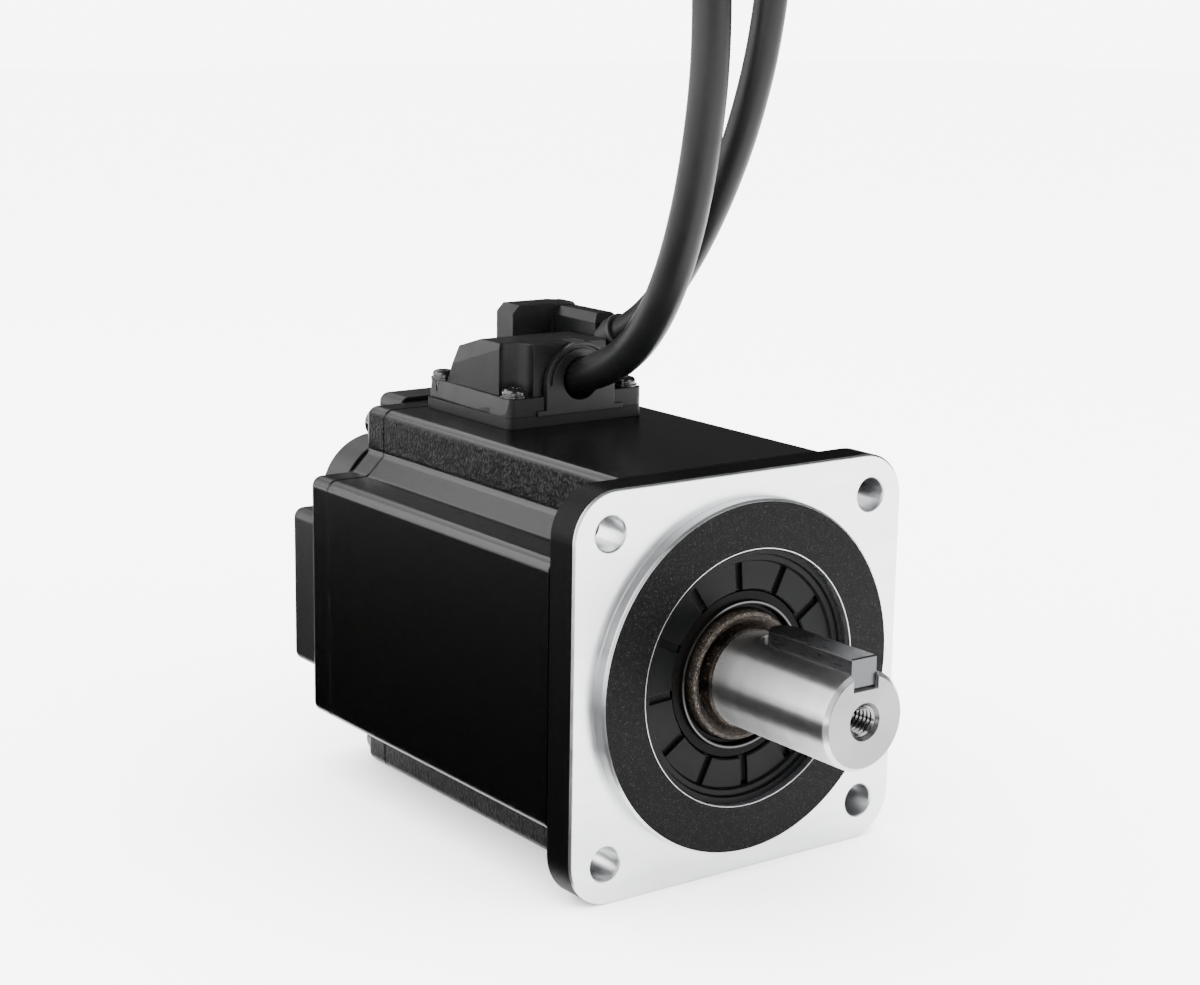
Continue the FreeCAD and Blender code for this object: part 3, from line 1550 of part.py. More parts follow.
def lead_path(route):
    """Straight runs joined by tangent arcs, and the radii of the arcs."""
    points = [Vector(*point) for point in route]
    edges = []
    radii = []
    start = points[0]
    for before, corner, after in zip(points, points[1:], points[2:]):
        shorter = min((corner - before).Length, (after - corner).Length)
        inward = (before - corner).normalize()
        outward = (after - corner).normalize()
        half_turn = (math.pi - inward.getAngle(outward)) / 2
        reach = BEND_SHARE * shorter
        arc_start = corner + inward * reach
        arc_end = corner + outward * reach
        radius = reach / math.tan(half_turn)
        centre_line = (inward + outward).normalize()
        centre = corner + centre_line * (radius / math.cos(half_turn))
        arc_middle = centre - centre_line * radius
        edges.append(Part.LineSegment(start, arc_start).toShape())
        edges.append(Part.Arc(arc_start, arc_middle, arc_end).toShape())
        radii.append(radius)
        start = arc_end
    edges.append(Part.LineSegment(start, points[-1]).toShape())
    return Part.Wire(edges), radii


def lead(label, route, radius):
    """A lead's tube, swept along its path, and checked against its section times its length."""
    path, radii = lead_path(route)
    start, direction = path.Edges[0].valueAt(0), path.Edges[0].tangentAt(0)
    section = Part.Wire([Part.Circle(start, direction, radius.value).toShape()])
    tube = path.makePipeShell([section], True, False)
    expected = math.pi * radius.value**2 * path.Length
    if abs(tube.Volume - expected) > 0.01 * expected:
        raise RuntimeError(f"{label}: volume {tube.Volume:.0f} is not {expected:.0f}")
    tube_item = document.addObject("Part::Feature", "tube")
    tube_item.Shape = tube
    keep(tube_item, label)
    rounded = ", ".join(f"{bend:.0f}" for bend in radii)
    print(f"{label}: length {path.Length:.1f} mm, bends {rounded} mm")


def plug(label, route, size, lead_radius, rows, columns, pitch):
    """An in-line plug hanging on the end of a lead: a collar, a body, a latch and contact holes."""
    end = Vector(*route[-1])
    direction = (end - Vector(*route[-2])).normalize()
    length, width, thickness = size
    collar = document.addObject("Part::Cylinder", "collar")
    collar.setExpression("Radius", (lead_radius + 1.6).formula)
    collar.setExpression("Height", d.plug_collar_length.formula)
    shell = block(
        (-width / 2, width / 2), (-thickness / 2, thickness / 2),
        (d.plug_collar_length, d.plug_collar_length + length),
    )
    shell = bevel(shell, as_size(0.8), lambda edge: runs_along(edge, 2))
    latch = block(
        (-width / 6, width / 6), (thickness / 2, thickness / 2 + 1.8),
        (d.plug_collar_length + length * 0.25, d.plug_collar_length + length),
    )
    mouth = d.plug_collar_length + length
    half_socket = as_size(0.9)
    sockets = []
    for row in range(rows):
        for column in range(columns):
            x = as_size(pitch * (column - (columns - 1) / 2))
            y = as_size(pitch * (row - (rows - 1) / 2))
            sockets.append(block(
                (x - half_socket, x + half_socket),
                (y - half_socket, y + half_socket),
                (mouth - 8, mouth + 1),
            ))
    whole = cut(fuse(collar, shell, latch), fuse(*sockets))
    turn = Rotation(Vector(0, 0, 1), direction)
    whole.Placement = Placement(end, turn)
    keep(whole, label)


def leads():
    lead("power_lead", POWER_LEAD_ROUTE, d.power_lead_radius)
    lead("encoder_lead", ENCODER_LEAD_ROUTE, d.encoder_lead_radius)
    plug(
        "power_plug", POWER_LEAD_ROUTE,
        (d.power_plug_length, d.power_plug_width, d.power_plug_depth),
        d.power_lead_radius, 2, 3, 4.2,
    )
    plug(
        "encoder_plug", ENCODER_LEAD_ROUTE,
        (d.encoder_plug_length, d.encoder_plug_width, d.encoder_plug_depth),
        d.encoder_lead_radius, 2, 4, 3.0,
    )


# ---------------------------------------------------------------- build, check and export


def check():
    document.recompute()
    for item in document.Objects:
        if "Invalid" in item.State or "Error" in item.State:
            raise RuntimeError(f"{item.Name} ({item.Label}) is {item.State}")
    for item in parts:
        if item.Shape.isNull() or not item.Shape.isValid() or not item.Shape.Solids:
            raise RuntimeError(f"{item.Label} has no valid solid")


def export():
    os.makedirs("parts", exist_ok=True)
    for item in parts:
        item.Shape.exportStep(f"parts/{item.Label}.step")
        print(f"{item.Label}: {len(item.Shape.Solids)} solids, {item.Shape.Volume:.0f} mm3")


front_flange()
stator_frame()
rear_bracket()
encoder_cover()
encoder_gasket()
casing_fasteners()
rotor_shaft()
shaft_key()
bearings()
oil_seal()
seal_cover_ring()
stator_core()
windings()
rotor()
encoder()
connector_spacer()
connector_housing()
power_gland()
encoder_housing()
encoder_gland()
connector_hardware()
leads()
check()
export()
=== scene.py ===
import math

import bmesh
import bpy
from mathutils import Matrix, Vector


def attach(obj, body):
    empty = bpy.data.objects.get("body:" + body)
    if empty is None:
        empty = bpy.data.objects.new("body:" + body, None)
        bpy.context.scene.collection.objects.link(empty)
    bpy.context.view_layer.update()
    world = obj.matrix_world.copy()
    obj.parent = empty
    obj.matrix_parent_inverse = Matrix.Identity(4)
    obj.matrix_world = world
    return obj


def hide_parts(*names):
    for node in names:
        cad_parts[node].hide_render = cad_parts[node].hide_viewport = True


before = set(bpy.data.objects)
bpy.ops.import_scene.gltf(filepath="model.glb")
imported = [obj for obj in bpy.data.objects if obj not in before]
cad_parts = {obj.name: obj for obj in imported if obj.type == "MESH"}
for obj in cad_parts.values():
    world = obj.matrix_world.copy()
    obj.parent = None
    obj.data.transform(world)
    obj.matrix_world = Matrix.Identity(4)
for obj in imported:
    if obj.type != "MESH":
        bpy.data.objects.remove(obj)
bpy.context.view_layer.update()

MM = 0.001
FLOOR_HEIGHT = -40 * MM

# The camera stands at the photograph's viewing angle.
CAMERA_PLACE = Vector((0.3269, -0.2742, 0.1288))
CAMERA_AZIMUTH = math.radians(53.74)
CAMERA_ELEVATION = math.radians(12.37)
CAMERA_ROLL = math.radians(0.93)
CAMERA_LENS_MM = 69.15

# The studio's white surround: how bright it is to look at, as light, and mirrored in the object.
SURROUND_SEEN = 7.6
SURROUND_LIGHT = 8.0
SURROUND_MIRRORED = 0.10

# The soft boxes: where each stands, what it points at, its width and height in metres, and its watts.
LEFT_SOFTBOX = ("left_softbox", (-0.40, -0.55, 0.33), (-0.40, 0, 0), 1.5, 0.70, 26.0)
FRONT_SOFTBOX = ("front_softbox", (0.80, 0.40, 0.40), (0, 0, 0), 0.7, 0.6, 9.0)
REAR_SOFTBOX = ("rear_softbox", (-0.75, -0.02, 0.58), (-0.05, -0.02, 0.03), 0.8, 0.30, 3.0)

FLOOR_REACH = 4.0
# The black card lies on the floor beside the motor's near side: its ends along X and its edges along Y.
CARD_REAR, CARD_FRONT = -0.60, 0.25
CARD_NEAR, CARD_FAR = -0.45, -0.041
CARD_LIFT = 1 * MM

# Stations along X and distances from the shaft's axis or the middle planes where finishes meet, or
# where painted shade starts.
FLANGE_HOLE_OFFSET = 31.82 * MM
FLANGE_HOLE_BRIGHT = 3.75 * MM
FLANGE_BRIGHT_REAR = -0.42 * MM
PILOT_FACE = 2.9 * MM
PILOT_RIM = 34.55 * MM
RECESS_RIM = 25.50 * MM
NOTCH_OUTER = 38.6 * MM
NOTCH_WALL_LOW = 31.2 * MM
NOTCH_REAR = -96.0 * MM
BRACKET_REAR_EDGE = -95.6 * MM
SEAL_SEAT_FRONT = 2.75 * MM
SHAFT_END = 34.9 * MM
SHAFT_BORE = 3.6 * MM
KEY_END = 34.0 * MM
SEAL_RIM_REAR = -0.15 * MM
SEAL_RIM_INNER, SEAL_RIM_OUTER = 14.20 * MM, 14.55 * MM
SEAL_LIP_OUTER = 12.7 * MM
DISC_TRACK_INNER, DISC_TRACK_OUTER = 12.5 * MM, 15.5 * MM
DISC_LINE_COUNT = 240.0

# The leads follow the same routes as their CAD tubes, in millimetres.
POWER_LEAD_DIAMETER = 7.5 * MM
POWER_LEAD_LENGTH = 0.249
POWER_LEAD_ROUTE = [
    (-59.5, 1.8, 49.0),
    (-48.0, 1.8, 52.5),
    (-37.7, 1.8, 58.7),
    (-29.7, 1.8, 68.1),
    (-23.6, 1.8, 80.6),
    (-18.8, 1.7, 96.8),
    (-15.6, 1.5, 117.4),
    (-16.4, 0.9, 143.3),
    (-23.0, -0.2, 164.3),
    (-35.3, -1.7, 180.0),
    (-52.5, -3.3, 190.0),
    (-72.3, -4.8, 192.5),
    (-91.6, -6.0, 186.9),
    (-106.2, -6.9, 175.0),
    (-115.2, -7.6, 161.7),
]
ENCODER_LEAD_DIAMETER = 6.5 * MM
ENCODER_LEAD_LENGTH = 0.228
ENCODER_LEAD_ROUTE = [
    (-61.3, 13.4, 56.4),
    (-52.4, 13.5, 60.8),
    (-43.6, 13.7, 68.2),
    (-35.2, 13.9, 78.2),
    (-27.6, 14.1, 89.9),
    (-20.9, 14.3, 103.3),
    (-15.6, 14.7, 120.5),
    (-13.7, 15.4, 142.4),
    (-17.9, 16.4, 164.0),
    (-27.2, 17.6, 179.4),
    (-41.5, 18.9, 190.2),
    (-59.0, 20.3, 194.6),
    (-76.8, 21.5, 191.8),
    (-91.2, 22.5, 182.8),
    (-100.4, 23.3, 170.9),
]


# The M6 thread in the shaft's end: where it starts, how deep it goes, and its steps in each turn.
THREAD_PITCH = 1.0 * MM
THREAD_MOUTH = 34.2 * MM
THREAD_DEPTH = 12.0 * MM
THREAD_STEPS = 36
THREAD_ROOT, THREAD_CREST = 2.97 * MM, 2.5 * MM
# The ridge's section: each corner's shift along the shaft, as a share of the pitch, and its radius.
THREAD_SECTION = [
    (-0.42, THREAD_ROOT),
    (-0.08, THREAD_CREST),
    (0.08, THREAD_CREST),
    (0.42, THREAD_ROOT),
]


# ---------------------------------------------------------------- camera, floor and light


def camera_axes():
    """The camera's right, up and backward directions."""
    back = Vector((
        math.sin(CAMERA_AZIMUTH) * math.cos(CAMERA_ELEVATION),
        -math.cos(CAMERA_AZIMUTH) * math.cos(CAMERA_ELEVATION),
        math.sin(CAMERA_ELEVATION),
    ))
    level_right = Vector((0, 0, 1)).cross(back).normalized()
    level_up = back.cross(level_right)
    right = math.cos(CAMERA_ROLL) * level_right + math.sin(CAMERA_ROLL) * level_up
    up = math.cos(CAMERA_ROLL) * level_up - math.sin(CAMERA_ROLL) * level_right
    return right, up, back


def add_camera():
    """The scene's camera, at the photograph's viewing angle."""
    camera = bpy.data.objects.new("camera", bpy.data.cameras.new("camera"))
    bpy.context.scene.collection.objects.link(camera)
    turn = Matrix(camera_axes()).transposed().to_4x4()
    camera.matrix_world = Matrix.Translation(CAMERA_PLACE) @ turn
    camera.data.lens = CAMERA_LENS_MM
    camera.data.clip_start = 0.01
    bpy.context.scene.camera = camera


def add_area_light(name, place, target, width, height, power):
    """A rectangular light that points from its place at a target."""
    light = bpy.data.lights.new(name, "AREA")
    light.shape = "RECTANGLE"
    light.size = width
    light.size_y = height
    light.energy = power
    lamp = bpy.data.objects.new(name, light)
    bpy.context.scene.collection.objects.link(lamp)
    aim = (Vector(target) - Vector(place)).to_track_quat("-Z", "Y")
    lamp.matrix_world = Matrix.Translation(place) @ aim.to_matrix().to_4x4()
    return lamp


def add_lights():
    """Three soft boxes. Only reflections show the left one, so the floor gets no bright line."""
    left = add_area_light(*LEFT_SOFTBOX)
    left.visible_diffuse = False
    add_area_light(*FRONT_SOFTBOX)
    add_area_light(*REAR_SOFTBOX)


def add_world():
    """A white surround for the view and the floor, dark in what the object reflects."""
    world = bpy.data.worlds.new("studio")
    bpy.context.scene.world = world
    world.use_nodes = True
    tree = world.node_tree
    tree.nodes.clear()

    def background(strength):
        node = tree.nodes.new("ShaderNodeBackground")
        node.inputs["Color"].default_value = (1, 1, 1, 1)
        node.inputs["Strength"].default_value = strength
        return node.outputs["Background"]

    def choose(share, otherwise, chosen):
        node = tree.nodes.new("ShaderNodeMixShader")
        tree.links.new(share, node.inputs["Fac"])
        tree.links.new(otherwise, node.inputs[1])
        tree.links.new(chosen, node.inputs[2])
        return node.outputs["Shader"]

    rays = tree.nodes.new("ShaderNodeLightPath")
    lighting = background(SURROUND_LIGHT)
    cast = choose(rays.outputs["Is Glossy Ray"], lighting, background(SURROUND_MIRRORED))
    surround = choose(rays.outputs["Is Camera Ray"], cast, background(SURROUND_SEEN))
    output = tree.nodes.new("ShaderNodeOutputWorld")
    tree.links.new(surround, output.inputs["Surface"])


def plane(name, corners):
    """A flat face through the corners."""
    mesh = bpy.data.meshes.new(name)
    mesh.from_pydata([Vector(corner) for corner in corners], [], [range(len(corners))])
    item = bpy.data.objects.new(name, mesh)
    bpy.context.scene.collection.objects.link(item)
    return item


def add_floor():
    """The pale floor that the motor stands on."""
    floor = plane("floor", [
        (-FLOOR_REACH, -FLOOR_REACH, FLOOR_HEIGHT),
        (FLOOR_REACH, -FLOOR_REACH, FLOOR_HEIGHT),
        (FLOOR_REACH, FLOOR_REACH, FLOOR_HEIGHT),
        (-FLOOR_REACH, FLOOR_REACH, FLOOR_HEIGHT),
    ])
    graph = Graph("studio_floor")
    graph.set(base=(0.93, 0.93, 0.93), roughness=0.9, specular=0.1)
    floor.data.materials.append(graph.material)


def add_dark_card():
    """A black card on the floor that only reflections show, so the motor's black side stays black."""
    height = FLOOR_HEIGHT + CARD_LIFT
    card = plane("dark_card", [
        (CARD_REAR, CARD_NEAR, height),
        (CARD_FRONT, CARD_NEAR, height),
        (CARD_FRONT, CARD_FAR, height),
        (CARD_REAR, CARD_FAR, height),
    ])
    graph = Graph("dark_card")
    graph.set(base=(0.0, 0.0, 0.0), roughness=1.0, specular=0.0)
    card.data.materials.append(graph.material)
    for kind in ("camera", "diffuse", "transmission", "volume_scatter", "shadow"):
        setattr(card, f"visible_{kind}", False)


# ---------------------------------------------------------------- material building blocks

# Short names for the shader's inputs.
SOCKETS = {
    "base": "Base Color",
    "metallic": "Metallic",
    "roughness": "Roughness",
    "specular": "Specular IOR Level",
    "normal": "Normal",
    "alpha": "Alpha",
    "anisotropic": "Anisotropic",
    "turn": "Anisotropic Rotation",
    "tangent": "Tangent",
}


class Graph:
    """A material whose nodes are built by short calls. Lengths are in metres in the shared frame."""

    def __init__(self, name):
        self.material = bpy.data.materials.new(name)
        self.material.use_nodes = True
        self.tree = self.material.node_tree
        self.shader = self.tree.nodes["Principled BSDF"]
        self.place = self.add("ShaderNodeTexCoord").outputs["Object"]

    def add(self, kind, inputs=(), **settings):
        """A node of the given kind, with its settings and its inputs' values or links."""
        node = self.tree.nodes.new(kind)
        for name, value in settings.items():
            setattr(node, name, value)
        for name, value in dict(inputs).items():
            self.feed(node.inputs[name], value)
        return node

    def feed(self, socket, value):
        """Links the socket to another node's output, or gives it a plain value."""
        if isinstance(value, bpy.types.NodeSocket):
            self.tree.links.new(value, socket)
        elif socket.type == "RGBA":
            socket.default_value = (*value, 1.0)
        else:
            socket.default_value = value

    def set(self, **values):
        """Feeds the shader's inputs by their short names."""
        for name, value in values.items():
            self.feed(self.shader.inputs[SOCKETS[name]], value)

    def axes(self):
        """The place's X, Y and Z."""
        split = self.add("ShaderNodeSeparateXYZ", {0: self.place})
        return split.outputs["X"], split.outputs["Y"], split.outputs["Z"]

    def maths(self, operation, first, second=0.0):
        """One sum on two numbers."""
        return self.add("ShaderNodeMath", {0: first, 1: second}, operation=operation).outputs[0]

    def length(self, first, second):
        """The distance made by two perpendicular lengths."""
        squared = [self.maths("POWER", length, 2.0) for length in (first, second)]
        return self.maths("SQRT", self.maths("ADD", *squared))

    def above(self, value, edge, width=0.02 * MM):
        """1 where the value is above the edge, 0 where it is below."""
        node = self.add("ShaderNodeMapRange", {
            "Value": value, "From Min": edge - width, "From Max": edge + width,
        }, interpolation_type="SMOOTHSTEP")
        return node.outputs["Result"]

    def below(self, value, edge, width=0.02 * MM):
        """1 where the value is below the edge, 0 where it is above."""
        return self.maths("SUBTRACT", 1.0, self.above(value, edge, width))

    def scaled(self, x, y, z):
        """The place with each axis stretched, for grain that runs one way."""
        return self.add(
            "ShaderNodeVectorMath", {0: self.place, 1: (x, y, z)}, operation="MULTIPLY",
        ).outputs[0]

    def around_axis(self, along, out, turn):
        """A place made of the station along +X, the distance from the axis and the angle."""
        x, y, z = self.axes()
        angle = self.maths("ARCTAN2", y, z)
        joined = self.add("ShaderNodeCombineXYZ", {
            "X": self.maths("MULTIPLY", x, along),
            "Y": self.maths("MULTIPLY", self.length(y, z), out),
            "Z": self.maths("MULTIPLY", angle, turn),
        })
        return joined.outputs[0]

    def noise(self, grain, detail=2.0, rough=0.5, place=None):
        """Noise whose blots are about a grain across; with a place, the grain is a plain scale."""
        scale = 1.0 / grain
        node = self.add("ShaderNodeTexNoise", {
            "Vector": place or self.place, "Scale": scale, "Detail": detail, "Roughness": rough,
        })
        return node.outputs["Fac"]

    def spread(self, value, low, high, to_low=0.0, to_high=1.0):
        """Stretches the range low to high over the range to_low to to_high."""
        node = self.add("ShaderNodeMapRange", {
            "Value": value, "From Min": low, "From Max": high, "To Min": to_low, "To Max": to_high,
        })
        return node.outputs["Result"]

    def mix(self, share, first, second):
        """Mixes two colours."""
        node = self.add("ShaderNodeMix", data_type="RGBA")
        self.feed(node.inputs["Factor"], share)
        self.feed(node.inputs[6], first)
        self.feed(node.inputs[7], second)
        return node.outputs[2]

    def blend(self, share, first, second):
        """Mixes two plain numbers."""
        node = self.add("ShaderNodeMix", data_type="FLOAT")
        self.feed(node.inputs[0], share)
        self.feed(node.inputs[2], first)
        self.feed(node.inputs[3], second)
        return node.outputs[0]

    def bump(self, height, depth, normal=None):
        """A normal for a surface that rises by depth where the height is 1."""
        inputs = {"Height": height, "Distance": depth}
        if normal is not None:
            inputs["Normal"] = normal
        return self.add("ShaderNodeBump", inputs).outputs[0]

    def soft_edges(self, radius=0.25 * MM):
        """A normal that rounds sharp edges a little, as moulded and machined edges are."""
        return self.add("ShaderNodeBevel", {"Radius": radius}, samples=4).outputs[0]


def coat_nodes(material, *nodes):
    """Gives CAD nodes a material in place of their plain one."""
    for node in nodes:
        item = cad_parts[node]
        item.data.materials.clear()
        item.data.materials.append(material)


# ---------------------------------------------------------------- materials


def painted_metal(name, colour, roughness, grain, depth, specular=0.22):
    """Paint over metal, with an orange-peel skin and slightly uneven gloss."""
    graph = Graph(name)
    peel = graph.noise(grain, detail=3.0)
    cloud = graph.noise(3 * MM, detail=2.0)
    graph.set(
        base=graph.mix(cloud, colour, tuple(part * 1.2 for part in colour)),
        roughness=graph.spread(cloud, 0.3, 0.7, roughness - 0.02, roughness + 0.02),
        specular=specular,
        normal=graph.bump(peel, depth, graph.soft_edges()),
    )
    return graph.material


def frame_paint():
    """The frame's black finish: glossy on its outer faces, grainy as cast on the notches' walls, with
    painted glints on the walls' grain tops.
    """
    graph = Graph("frame_black_finish")
    x, y, z = graph.axes()
    across, up = graph.maths("ABSOLUTE", y), graph.maths("ABSOLUTE", z)
    inside = graph.below(graph.maths("MAXIMUM", across, up), NOTCH_OUTER, 0.5 * MM)
    inside = graph.maths("MULTIPLY", inside, graph.above(x, NOTCH_REAR, 0.4 * MM))
    wall = graph.maths("MULTIPLY", inside, graph.above(up, NOTCH_WALL_LOW, 0.4 * MM))
    grains = graph.noise(0.60 * MM, detail=3.0, rough=0.6)
    skin = graph.noise(0.30 * MM, detail=2.0)
    # Painted highlight: the walls' grain tops are coloured lighter, as glints where the grains catch
    # light.
    fleck = graph.maths("MULTIPLY", wall, graph.above(grains, 0.55, 0.07))
    fine = graph.bump(skin, 0.010 * MM, graph.soft_edges(0.4 * MM))
    matt = graph.maths("MAXIMUM", wall, graph.below(x, BRACKET_REAR_EDGE, 0.2 * MM))
    graph.set(
        base=graph.mix(fleck, (0.0004, 0.0004, 0.00044), (0.0120, 0.0120, 0.0125)),
        roughness=graph.blend(matt, 0.26, 0.34),
        specular=graph.blend(matt, 0.20, 0.04),
        normal=graph.bump(graph.maths("MULTIPLY", grains, wall), 0.50 * MM, fine),
    )
    return graph.material


def flange_finish():
    """Bright machined faces and bores, a black textured pilot face and black edges."""
    graph = Graph("flange_machined_and_black")
    x, y, z = graph.axes()
    radius = graph.length(y, z)
    corner_y = graph.maths("SUBTRACT", graph.maths("ABSOLUTE", y), FLANGE_HOLE_OFFSET)
    corner_z = graph.maths("SUBTRACT", graph.maths("ABSOLUTE", z), FLANGE_HOLE_OFFSET)
    in_hole = graph.below(graph.length(corner_y, corner_z), FLANGE_HOLE_BRIGHT)
    past_plate = graph.above(x, FLANGE_BRIGHT_REAR)
    before_pilot_face = graph.below(x, PILOT_FACE)
    rims = graph.maths("MAXIMUM", graph.above(radius, PILOT_RIM), graph.below(radius, RECESS_RIM))
    bright_front = graph.maths("MAXIMUM", before_pilot_face, rims)
    bright = graph.maths("MAXIMUM", in_hole, graph.maths("MULTIPLY", past_plate, bright_front))

    milling = graph.noise(1.0, detail=3.0, rough=0.6, place=graph.scaled(600, 900, 9000))
    streak = graph.noise(1.0, detail=2.0, rough=0.5, place=graph.scaled(30, 40, 260))
    speckle = graph.noise(0.28 * MM, detail=3.0, rough=0.7)
    fleck = graph.maths("MULTIPLY", past_plate, graph.above(speckle, 0.62, 0.04))
    dark = graph.mix(fleck, (0.0005, 0.0005, 0.0006), (0.015, 0.0146, 0.0142))
    metal = graph.mix(graph.spread(streak, 0.3, 0.7), (0.50, 0.51, 0.52), (0.60, 0.61, 0.62))
    height = graph.blend(bright, graph.maths("MULTIPLY", speckle, 10.0), milling)
    graph.set(
        base=graph.mix(bright, dark, metal),
        metallic=bright,
        roughness=graph.blend(bright, 0.42, graph.spread(streak, 0.3, 0.7, 0.30, 0.38)),
        specular=0.045,
        normal=graph.bump(height, 0.004 * MM, graph.soft_edges(0.3 * MM)),
    )
    return graph.material


def turned_steel(name, colour, roughness, stain_end=None):
    """Steel ground round its axis.

    A stain end is given for the shaft only: oil marks stop at that station, its seat under the seal is
    greased, and its end and centre hole are coloured darker as painted shade.
    """
    graph = Graph(name)
    x, y, z = graph.axes()
    rings = graph.noise(1.0, detail=3.0, rough=0.7, place=graph.around_axis(9000.0, 7000.0, 1.2))
    wide = graph.noise(1.0, detail=2.0, rough=0.5, place=graph.around_axis(400.0, 200.0, 0.4))
    tone = graph.mix(graph.spread(wide, 0.3, 0.7), colour, tuple(part * 1.08 for part in colour))
    rough = graph.spread(wide, 0.3, 0.7, roughness - 0.02, roughness + 0.02)
    if stain_end is not None:
        # Painted shade: the end face is coloured darker, and the centre hole darker still, standing in
        # for shade.
        end_face_painted_shade = graph.above(x, SHAFT_END)
        tone = graph.mix(end_face_painted_shade, tone, tuple(part * 0.45 for part in colour))
        bore_painted_shade = graph.below(graph.length(y, z), SHAFT_BORE)
        tone = graph.mix(bore_painted_shade, tone, tuple(part * 0.2 for part in colour))
        blots = graph.above(graph.noise(0.5 * MM, detail=4.0, rough=0.7), 0.60, 0.06)
        stain = graph.maths("MULTIPLY", blots, graph.below(x, stain_end, 1.2 * MM))
        tone = graph.mix(stain, tone, (0.20, 0.16, 0.13))
        rough = graph.blend(stain, rough, 0.5)
        greased = graph.maths("MULTIPLY", graph.below(x, SEAL_SEAT_FRONT), graph.below(blots, 0.8, 0.1))
        tone = graph.mix(greased, tone, (0.022, 0.018, 0.015))
    tangent = graph.add("ShaderNodeTangent", direction_type="RADIAL", axis="X").outputs[0]
    graph.set(
        base=tone, metallic=1.0, roughness=rough, anisotropic=0.9, turn=0.25, tangent=tangent,
        normal=graph.bump(rings, 0.0012 * MM, graph.soft_edges(0.15 * MM)),
    )
    return graph.material


def key_steel():
    """Drawn key steel, with lengthwise marks, and a cut end coloured darker as painted shade."""
    graph = Graph("key_drawn_steel")
    x, _, _ = graph.axes()
    lines = graph.noise(1.0, detail=3.0, rough=0.6, place=graph.scaled(250, 5000, 5000))
    # Painted shade: the key's cut end is coloured darker than its sides.
    end_painted_shade = graph.above(x, KEY_END, 0.1 * MM)
    side = graph.mix(graph.spread(lines, 0.2, 0.8), (0.085, 0.085, 0.088), (0.115, 0.115, 0.12))
    graph.set(
        base=graph.mix(end_painted_shade, side, (0.060, 0.062, 0.064)),
        metallic=1.0,
        roughness=graph.spread(lines, 0.3, 0.7, 0.24, 0.4),
        normal=graph.bump(lines, 0.002 * MM, graph.soft_edges(0.2 * MM)),
    )
    return graph.material


def seal_rubber():
    """Oiled black rubber, a bright rim ring, and a brown greasy stain towards the shaft."""
    graph = Graph("seal_oiled_rubber")
    x, y, z = graph.axes()
    radius = graph.length(y, z)
    rim_band = graph.maths(
        "MULTIPLY", graph.above(radius, SEAL_RIM_INNER), graph.below(radius, SEAL_RIM_OUTER),
    )
    rim = graph.maths("MULTIPLY", graph.above(x, SEAL_RIM_REAR), rim_band)
    blots = graph.noise(0.40 * MM, detail=5.0, rough=0.75)
    lip = graph.below(radius, SEAL_LIP_OUTER, 0.4 * MM)
    stain = graph.maths("MULTIPLY", lip, graph.above(blots, 0.50, 0.06))
    fleck = graph.maths("MULTIPLY", lip, graph.above(graph.noise(0.22 * MM, detail=3.0), 0.57, 0.03))
    dirt = graph.mix(stain, (0.0012, 0.0011, 0.0010), (0.010, 0.0072, 0.0058))
    grit = graph.mix(fleck, dirt, (0.075, 0.062, 0.050))
    graph.set(
        base=graph.mix(rim, grit, (0.045, 0.045, 0.045)),
        metallic=rim,
        roughness=graph.blend(rim, graph.spread(blots, 0.3, 0.7, 0.22, 0.5), 0.25),
        specular=graph.blend(lip, 0.03, 0.14),
        normal=graph.bump(graph.maths("MULTIPLY", blots, lip), 0.24 * MM),
    )
    return graph.material


def moulded_plastic(name, colour, roughness=0.45, grain=0.35 * MM, depth=0.006 * MM, specular=0.25):
    """Moulded plastic or rubber with a fine grain and faint flow marks."""
    graph = Graph(name)
    skin = graph.noise(grain, detail=2.0)
    flow = graph.noise(6 * MM, detail=3.0)
    graph.set(
        base=graph.mix(graph.spread(flow, 0.3, 0.7), colour, tuple(part * 1.3 for part in colour)),
        roughness=graph.spread(flow, 0.3, 0.7, roughness - 0.05, roughness + 0.06),
        specular=specular,
        normal=graph.bump(skin, depth, graph.soft_edges(0.3 * MM)),
    )
    return graph.material


def bright_metal(name, colour, roughness):
    """Clean plated or polished metal with a faint haze."""
    graph = Graph(name)
    haze = graph.noise(1.6 * MM, detail=3.0)
    graph.set(
        base=graph.mix(haze, colour, tuple(min(1.0, part * 1.2) for part in colour)),
        metallic=1.0,
        roughness=graph.spread(haze, 0.3, 0.7, roughness - 0.04, roughness + 0.06),
        normal=graph.bump(graph.noise(0.3 * MM, detail=2.0), 0.002 * MM, graph.soft_edges(0.12 * MM)),
    )
    return graph.material


def laminated_steel():
    """Electrical steel in thin sheets, seen as lines across the shaft."""
    graph = Graph("core_sheets")
    sheets = graph.noise(1.0, detail=1.0, rough=0.5, place=graph.scaled(2200, 20, 20))
    graph.set(
        base=graph.mix(graph.spread(sheets, 0.35, 0.65), (0.14, 0.15, 0.17), (0.30, 0.31, 0.34)),
        metallic=0.9,
        roughness=0.42,
        normal=graph.bump(sheets, 0.03 * MM),
    )
    return graph.material


def copper_winding():
    """Enamelled wire wound side by side."""
    graph = Graph("coil_wire")
    turns = graph.add("ShaderNodeTexWave", {
        "Vector": graph.around_axis(0.0, 1.0, 0.0), "Scale": 260.0, "Distortion": 0.4,
    }, bands_direction="Y").outputs["Fac"]
    graph.set(
        base=graph.mix(turns, (0.32, 0.10, 0.03), (0.78, 0.36, 0.13)),
        metallic=0.85,
        roughness=0.32,
        normal=graph.bump(turns, 0.15 * MM),
    )
    return graph.material


